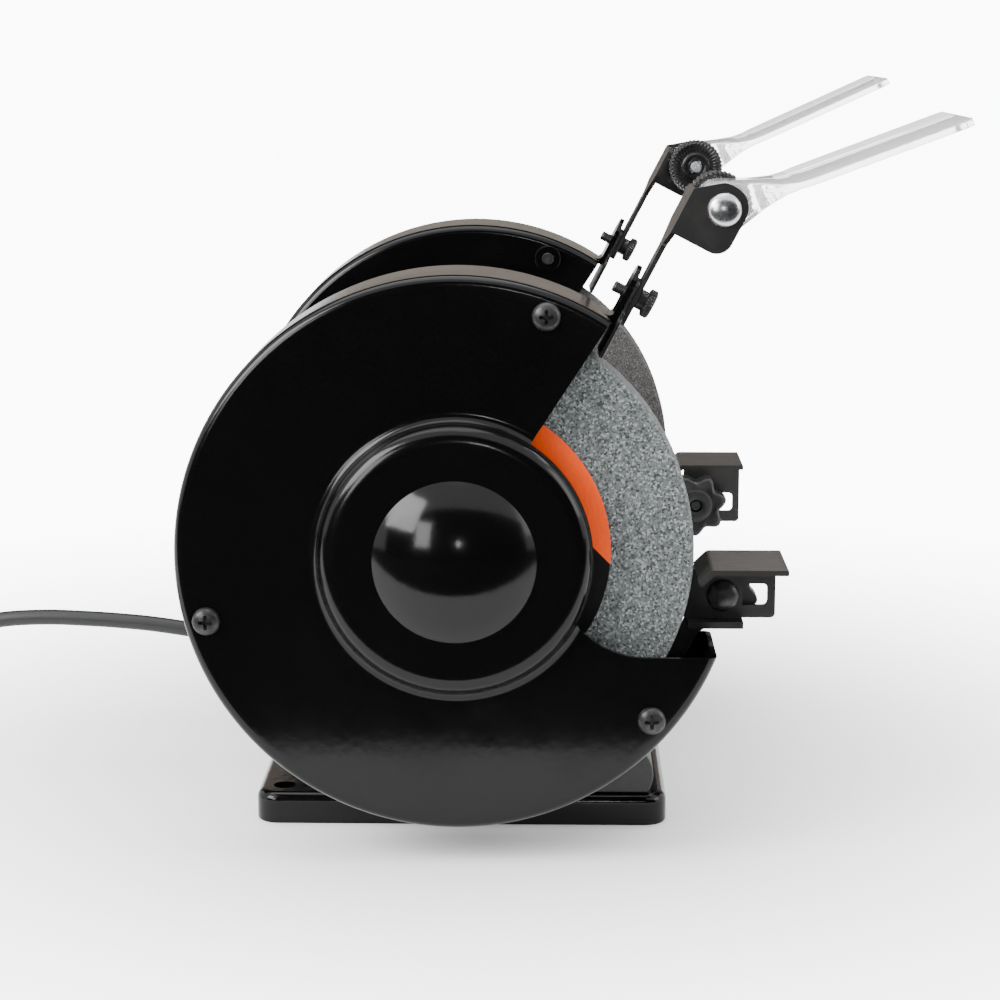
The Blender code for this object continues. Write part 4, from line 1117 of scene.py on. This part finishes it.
def pivotOf(sideName):
    return onArm(0, shieldSet["pivotAlong"] * mm + bracketLift[sideName], shieldSet["pivotOut"] * mm)


def slotIn(side, low, high, outLow, outHigh, lift=0.0):
    line = roundCorners([(-2.8, low, 2.7), (2.8, low, 2.7), (2.8, high, 2.7), (-2.8, high, 2.7)], 8)
    return armSheet("slot", line, side, outLow, outHigh, lift)


def addDeflector(sideName, side):
    line = roundCorners([(-16, 100.8, 0.6), (16, 100.8, 0.6), (16, 118, 3), (9, 121, 3), (9, 136, 4),
                         (-9, 136, 4), (-9, 121, 3), (-16, 118, 3)])
    sheet = armSheet("spark_plate_" + sideName, line, side, 14.3, 15.9)
    combined(sheet, [slotIn(side, 119.5, 131.8, 13, 17)])
    finished(sheet, "spark_deflector_" + sideName, armPaint, edge=0.25 * mm)


def addBracket(sideName, side):
    lift = bracketLift[sideName]
    line = [(-7.5, 116, 2), (7.5, 116, 2), (7.5, 154, 4), (19, 160, 0), (19, 180, 0), (-19, 180, 3),
            (-19, 164, 3), (-7.5, 154, 4)]
    flip = [(side * a, b, r) for a, b, r in line][::-side]
    sheet = armSheet("shield_arm_" + sideName, roundCorners(flip), side, 16.2, 18.2, lift)
    earLine = roundCorners([(16.2, 160, 0.3), (40.7, 160, 7), (40.7, 188.4, 9.4),
                            (27, 188.4, 6), (16.2, 180, 0.3)], 10)
    ear = stretched("ear", earLine, -1 * mm, 1 * mm, onArm(side * 148 * mm, lift, 0), outDir, alongDir)
    combined(sheet, [ear], "UNION")
    along = shieldSet["pivotAlong"] * mm + lift
    ends = (onArm(side * x * mm, along, shieldSet["pivotOut"] * mm) for x in (144, 152))
    combined(sheet, [slotIn(side, 118.6, 143.6, 15, 19, lift), bar("hole", 3.3 * mm, *ends)])
    finished(sheet, "shield_bracket_" + sideName, armPaint, edge=0.4 * mm, segments=3)


def addClampBolt(sideName, side):
    # a disc-headed screw on a narrow neck; its threaded end stands out behind the tab
    h = np.linspace(17.5, 8, 96)
    thread = columns(2.32 + 0.18 * np.cos(2 * pi * h / 0.8), h)
    head = inMm([(0, 24.9), (2.6, 24.9), (3.2, 25.4), (5.4, 25.4), (6, 24.8), (6, 22.4), (5.4, 21.8),
                 (4.3, 21.8), (4.3, 18.8), (4.0, 18.5), (2.5, 18.5)])
    line = np.vstack([head, thread * mm, inMm([(2.0, 7), (0, 7)])])
    origin = onArm(side * shieldX, shieldSet["clampAlong"] * mm, 0)

    def knurl(r, h, u):
        # fine grip ridges round the disc's rim
        return r + 0.18 * mm * smooth(r, 5.6 * mm, 5.9 * mm) * np.cos(30 * u), h

    bolt = turned("clamp_screw_" + sideName, line, origin, outDir, steps=180, change=knurl)
    finished(bolt, "clamp_bolt_" + sideName, screwBlack, angle=40)


def addShield(sideName, side):
    # section at s: a rounded rectangle, half width w(s) and half thickness t(s), carried out from the pivot
    s0 = shieldSet
    pivot = pivotOf(sideName)
    tilt = np.radians(shieldTilt[sideName])
    reach = np.array((0, -np.cos(tilt), np.sin(tilt)))
    normal = np.array((0, np.sin(tilt), np.cos(tilt)))
    middle = side * (s0["knuckleLow"] + s0["knuckleHigh"]) / 2
    half = (s0["knuckleHigh"] - s0["knuckleLow"]) / 2
    wide, end, corner = s0["width"] / 2, s0["length"], 4.0
    around = -s0["knuckle"] * np.cos(np.linspace(0.06, pi / 2, 14))
    s = np.concatenate([around, np.linspace(0.6, 38, 76), [50, 70, 90, end - corner],
                        end - corner + corner * np.sin(np.linspace(0.2, pi / 2 * 0.96, 7))])
    circle = np.sqrt(np.maximum(s0["knuckle"] ** 2 - s ** 2, 0.01))
    wedge = np.interp(s, [-1, 0, 3, 25, 31], [0, 10.2, 9.9, 2.5, s0["thick"] / 2])
    thin = np.where(s < 2, np.maximum(circle, wedge), wedge)
    endCut = corner - np.sqrt(np.maximum(corner ** 2 - np.maximum(s - (end - corner), 0) ** 2, 0))
    broad = half + (wide - half) * smooth(s, 13, 37) - endCut
    section = roundedRect(broad, thin, np.minimum(thin * 0.8, 1.0), arc=4)
    points = (pivot + np.array((middle * mm, 0, 0)) + section[..., :1] * mm * np.array((1, 0, 0))
              + section[..., 1:] * mm * normal + s[:, None, None] * mm * reach)
    sheet = lofted("clear_shield_" + sideName, points)
    ends = (pivot + np.array((side * x * mm, 0, 0)) for x in (104, 150))
    combined(sheet, [bar("bore", 3.3 * mm, *ends, steps=48)])
    finished(sheet, "eye_shield_" + sideName, clear, angle=24)


shieldKnobSet = {"radius": 13.1, "low": 97.1, "high": 105.5, "faceRound": 1.6, "backRound": 1.0,
                 "ribs": 40, "rimRib": 0.32, "faceRib": 0.22}


def addShieldClamp(sideName, side):
    k = shieldKnobSet
    pivot = pivotOf(sideName)
    a = np.linspace(0, pi / 2, 12)
    head = columns(7.05 * np.sin(a), 149.6 + 3.5 * np.cos(a))
    h = np.linspace(147, 94, 180)
    thread = columns(2.85 + 0.15 * np.cos(2 * pi * h / 1.25), h)
    line = np.vstack([head, [(7.15, 149.3), (3, 149.3)], thread, [(2.4, 93.2), (0, 93.2)]]) * mm
    line[0, 0] = 0
    bolt = turned("zinc_bolt_" + sideName, line, pivot, (side, 0, 0), steps=64)
    finished(bolt, "shield_bolt_" + sideName, zincPlate, angle=40)

    v = np.linspace(0, 1, 9)
    rim = columns(k["radius"] - k["faceRound"] * (1 - np.sin(v * pi / 2)),
                  k["low"] - k["faceRound"] * np.cos(v * pi / 2))
    back = columns(k["radius"] - k["backRound"] * (1 - np.cos(v * pi / 2)),
                   k["high"] + k["backRound"] * np.sin(v * pi / 2))
    face = inMm([(3.3, 106.5), (3.3, 96.2), (3.9, 95.6), (6.1, 95.6), (6.6, 96.3), (7.2, 96.6), (9, 96.1)])
    profile = np.vstack([face, rim * mm, back * mm])

    def ribs(r, h, u):
        # forty ribs round the rim that run in over the face
        wave = np.cos(k["ribs"] * u)
        onFace = smooth(r, 9.2 * mm, 10.4 * mm) * (1 - smooth(h, 97.5 * mm, 99 * mm))
        onRim = smooth(r, 11.2 * mm, 12.4 * mm)
        return r + k["rimRib"] * mm * onRim * wave, h - k["faceRib"] * mm * onFace * wave

    nut = turned("thumb_nut_" + sideName, profile, pivot, (side, 0, 0), steps=360, loop=True, change=ribs)
    finished(nut, "shield_knob_" + sideName, nutPlastic, angle=50)


for sideName, side in sides.items():
    addDeflector(sideName, side)
    addBracket(sideName, side)
    addClampBolt(sideName, side)
    addShield(sideName, side)
    addShieldClamp(sideName, side)
print("shields made")


# motor

def addMotor():
    # a rolled shell with a beaded edge at each end
    half = inMm([(69.5, 60), (71.2, 60), (72, 59.4), (72, 57.5), (71.4, 56.9), (71.4, 55.6), (72, 55)])
    outer = np.vstack([half, np.array(half[::-1]) * (1, -1)])
    shell = onShaft("motor_barrel", outer, 1, steps=180, loop=True)
    finished(shell, "motor_shell", castGloss, angle=40)
    for sideName, side in sides.items():
        t = np.linspace(0, pi / 2, 10)
        crown = columns(66 + 6 * np.cos(t), 66 + 8 * np.sin(t))
        inside = inMm([(20.3, 90), (36, 90), (66, 70), (66, 60.3), (71.5, 60.3), (72, 60.8)])
        outside = inMm([(62, 77.5), (50, 92.5), (45.5, 97.4), (43.6, 99.5), (42.3, 102), (42, 106.8),
                        (41.6, 107.2), (12, 107.2), (12, 104.3), (20.3, 104.3)])
        line = np.vstack([inside, crown * mm, outside])
        bell = onShaft("end_cover_" + sideName, line, side, steps=180, loop=True)
        finished(bell, "end_bell_" + sideName, castGloss, angle=36)


addMotor()
print("motor made")


# base

baseSet = {"halfX": 100.0, "halfY": 92.0, "corner": 10.0, "flange": 14.0, "round": 4.0,
           "footX": 76.0, "footFront": -55.0, "footBack": 68.0, "insetX": 22.0, "insetY": 12.0,
           "top": 76.0, "fillet": 5.0, "holes": [(a * 87.0, b) for a in (-1, 1) for b in (80.0, -38.0)]}


def addBase():
    # one skin of stacked rounded rectangles: flange, rounded edge, fillet, and a pedestal drawn in to the top
    b = baseSet
    q = np.linspace(0, pi / 2, 7)
    footY = (b["footBack"] - b["footFront"]) / 2
    footMid = (b["footBack"] + b["footFront"]) / 2
    edgeIn = b["round"] * (1 - np.cos(q))
    edgeUp = b["flange"] - b["round"] + b["round"] * np.sin(q)
    filletOut = b["fillet"] * (1 - np.sin(q))
    filletUp = b["flange"] + b["fillet"] * (1 - np.cos(q))
    up = np.concatenate([[0.0, 1.0], edgeUp, filletUp, [b["top"] - 1.5, b["top"] - 0.4, b["top"]]])
    rise = np.clip((up - 2) / (b["top"] - 2), 0, 1)
    onFlange = 2 + len(q)
    halfX = b["footX"] - b["insetX"] * rise
    halfY = footY - b["insetY"] * rise
    midY = np.full(len(up), footMid)
    corner = np.full(len(up), 7.0)
    flangeIn = np.concatenate([[0.6, 0.0], edgeIn])
    halfX[:onFlange] = b["halfX"] - flangeIn
    halfY[:onFlange] = b["halfY"] - flangeIn
    midY[:onFlange] = 0
    corner[:onFlange] = b["corner"] - flangeIn * 0.8
    foot = slice(onFlange, onFlange + len(q))
    for values in (halfX, halfY, corner):
        values[foot] += filletOut
    for values in (halfX, halfY):
        values[-2:] -= (0.4, 1.2)
    section = roundedRect(halfX, halfY, corner, arc=10)
    points = np.stack([section[..., 0], section[..., 1] + midY[:, None],
                       np.broadcast_to(up[:, None], section.shape[:2])], axis=-1)
    casting = lofted("base", points * mm)
    saddle = bar("saddle", 72.3 * mm, (-0.12, 0, shaftUp), (0.12, 0, shaftUp), steps=180)
    recessLine = roundedRect(80, 66, 3, arc=3)[0] * mm + (0, 0.006)
    recess = stretched("recess", recessLine, -0.002, 0.0024, (0, 0, 0), (1, 0, 0), (0, 1, 0))
    root = np.array(cordSet["reliefRoot"]) * mm
    way = unit(cordPath[0] - root)
    gland = bar("gland", 7.8 * mm, root - way * 0.012, root + way * 0.02)
    holes = [bar("hole", 5 * mm, (x * mm, y * mm, -0.001), (x * mm, y * mm, 0.02)) for x, y in b["holes"]]
    combined(casting, [saddle, recess, gland, *holes])
    finished(casting, "base_casting", castGloss, edge=0.5 * mm, angle=34, segments=3)


hoodSet = {"halfX": 97.0, "noseFront": 72.0, "noseUp": 22.5, "noseRadius": 14.0, "back": 55.6, "rise": 22.0,
           "floor": 14.3, "wall": 2.5, "window": (14.0, 9.5)}
switchMiddle = np.array((0, -71.4, 42.9)) * mm
switchDown = unit((0, -1, -1))


def noseLine(shrink):
    # a round nose resting on the flange, then a panel sloping back at 45 degrees
    h = hoodSet
    radius = h["noseRadius"] - shrink
    low = -np.arcsin((h["noseUp"] - h["floor"]) / radius)
    a = np.linspace(low, pi / 4, 22)
    arc = columns(h["noseFront"] + radius * np.cos(a), h["noseUp"] + radius * np.sin(a))
    top = arc[-1] + (-h["rise"], h["rise"])
    return np.vstack([[(h["back"], h["floor"])], arc, [top, (h["back"], top[1])]])


def addSwitch():
    h = hoodSet
    hood = sidePlate("switch_hood", noseLine(0) * mm, -h["halfX"] * mm, h["halfX"] * mm, 0)
    inner = noseLine(h["wall"])
    inner[:, 0] = np.where(inner[:, 0] < 56, inner[:, 0] - 6, inner[:, 0])
    inner[:, 1] = np.where(inner[:, 1] < 15, inner[:, 1] - 4, inner[:, 1])
    room = (h["halfX"] - h["wall"]) * mm
    hollow = sidePlate("hollow", inner * mm, -room, room, 0)
    windowLine = roundedRect(h["window"][0], h["window"][1], 1.2, arc=4)[0] * mm
    window = stretched("window", windowLine, -7 * mm, 7 * mm, switchMiddle, (1, 0, 0), switchDown)
    combined(hood, [hollow, window])
    finished(hood, "switch_housing", hoodPlastic, edge=0.9 * mm, angle=34, segments=3)

    # the rocker: rounded rectangles stacked along its depth, with the face dished as a shallow valley
    depth = np.array([-4.5, -4.2, 0, 3.2, 3.9, 4.3, 4.5])
    less = np.array([0.5, 0.1, 0, 0, 0.25, 0.8, 1.6])
    flat = roundedRect(13.4 - less, 8.8 - less, np.full(7, 1.4), arc=5)
    normal = np.cross((1, 0, 0), switchDown)
    valley = 1.3 * (1 - (flat[..., 1:] / 8.8) ** 2) * smooth(depth, 0, 4.5)[:, None, None]
    points = (switchMiddle + flat[..., :1] * mm * np.array((1, 0, 0)) + flat[..., 1:] * mm * switchDown
              - (depth[:, None, None] - valley) * mm * -np.sign(normal[2]) * normal)
    rocker = lofted("rocker_key", points)
    finished(rocker, "switch_rocker", rockerRed, angle=30)


addBase()
addSwitch()
print("base and switch made")


# nodes kept as they are, with their own finishes

def coat(nodeName, finish):
    obj = frame["nodes"][nodeName]
    obj.data.materials.clear()
    obj.data.materials.append(finish)


coat("stator_core", laminations("stator_laminations"))
coat("rotor_core", laminations("rotor_laminations"))
coat("stator_winding", copperWire("winding_wire"))
coat("capacitor", diecast)
coat("base_bottom_plate", satin)
for sideName in sides:
    coat("bearing_" + sideName, machined)


# floor, light and what the gloss reflects

# extra: painted light, a glow that the floor and sky give only to the camera and through the clear sheets; on
# the floor it fades in between extraFrom and extraTo metres from the middle
stageSet = {"floor": (0.9, 0.9, 0.9), "sky": (0.97, 0.975, 1.0), "skyStrength": 2.0,
            "fadeFrom": 0.7, "fadeTo": 2.6, "extra": 9.0, "extraFrom": 0.12, "extraTo": 0.75,
            "throughClear": 0.6, "far": 6.0}


def card(name, corners, color, seen=False):
    points = np.array(corners, float)
    mesh = bpy.data.meshes.new(name)
    mesh.from_pydata(points, [], [[0, 1, 2, 3]])
    obj = placed(name, mesh)
    mesh.materials.append(newFinish(name, color, 0.9, specular=0.1)[0])
    if not seen:  # it darkens reflections only
        for ray in ("camera", "diffuse", "shadow", "transmission"):
            setattr(obj, "visible_" + ray, False)
    return obj


def fadeOut(made):
    # the floor turns into the sky's own tone with distance from the middle, so no horizon shows
    s = stageSet
    tree = made.node_tree
    shader = tree.nodes["Principled BSDF"]
    reach = node(tree, "VectorMath", operation="LENGTH")
    wire(tree, places(tree), reach.inputs[0])
    distance = reach.outputs["Value"]
    away = ranged(tree, distance, s["fadeFrom"], s["fadeTo"], kind="SMOOTHSTEP")
    # painted light: the floor glows for the camera away from the middle and not near it, so the floor round
    # the base stays darker and keeps its shadow
    glowAwayFromBase = ranged(tree, distance, s["extraFrom"], s["extraTo"], kind="SMOOTHSTEP")
    wire(tree, blended(tree, away, s["floor"], (0, 0, 0)), shader.inputs["Base Color"])
    shader.inputs["Emission Color"].default_value = (*s["sky"], 1)
    lit = maths(tree, "MULTIPLY", away, s["skyStrength"])
    extra = maths(tree, "MULTIPLY", glowAwayFromBase, extraWhite(tree))
    wire(tree, maths(tree, "ADD", lit, extra), shader.inputs["Emission Strength"])


def extraWhite(tree):
    # what a direct look, or one through the clear sheets, adds to the floor's and sky's own light
    path = node(tree, "LightPath")
    through = maths(tree, "MULTIPLY", path.outputs["Is Transmission Ray"], stageSet["throughClear"])
    looks = maths(tree, "ADD", path.outputs["Is Camera Ray"], through)
    return maths(tree, "MULTIPLY", looks, stageSet["extra"])


def softLight(name, place, aim, size, power):
    data = bpy.data.lights.new(name, "AREA")
    data.shape = "RECTANGLE"
    data.size, data.size_y = size
    data.energy = power
    aimed(placed(name, data), place, aim)


# each light: place, aim, size and power; each flag: its corners and colour
lightSet = {
    "key_box": ((-0.95, 1.15, 1.0), (-0.1, 0, 0.13), (0.85, 0.85), 40),
    "side_box": ((-1.2, 0.62, 0.5), (-0.17, 0, 0.134), (0.3, 0.5), 6),
    "top_box": ((0.1, 0.2, 1.6), (0, 0, 0.1), (1.4, 1.4), 16),
    "front_fill": ((-0.4, -1.5, 0.8), (0, 0, 0.15), (0.8, 0.8), 8),
    "eye_light": ((-1.5, -0.07, 0.375), (-0.17, 0, 0.134), (0.05, 0.05), 0.8),
}
flagBlack, flagBeige = (0.01, 0.01, 0.01), (0.17, 0.15, 0.13)


def level(lowX, highX, halfY, up):
    return [(lowX, -halfY, up), (highX, -halfY, up), (highX, halfY, up), (lowX, halfY, up)]


def upright(x, halfY, low, high):
    return [(x, -halfY, low), (x, halfY, low), (x, halfY, high), (x, -halfY, high)]


flagSet = {
    "flag_low": (level(-stageSet["far"], -0.33, stageSet["far"], 0.002), flagBlack),
    "flag_back": (upright(-1.9, 4.0, 0.0, 1.7), flagBlack),
    "flag_far": (upright(1.8, 1.6, 0.2, 1.3), flagBeige),
    "flag_roof": (level(0.45, 1.8, 1.6, 1.3), flagBlack),
}


def addStage():
    far = stageSet["far"]
    floor = card("floor", level(-far, far, far, 0), stageSet["floor"], seen=True)
    fadeOut(floor.active_material)
    for name, (corners, color) in flagSet.items():
        card(name, corners, color)
    world = bpy.data.worlds.new("studio")
    bpy.context.scene.world = world
    world.use_nodes = True
    sky = world.node_tree.nodes["Background"]
    sky.inputs["Color"].default_value = (*stageSet["sky"], 1)
    whole = maths(world.node_tree, "ADD", extraWhite(world.node_tree), stageSet["skyStrength"])
    wire(world.node_tree, whole, sky.inputs["Strength"])
    for name, (place, aim, size, power) in lightSet.items():
        softLight(name, place, aim, size, power)


addStage()
print("stage lit")

bpy.context.view_layer.update()
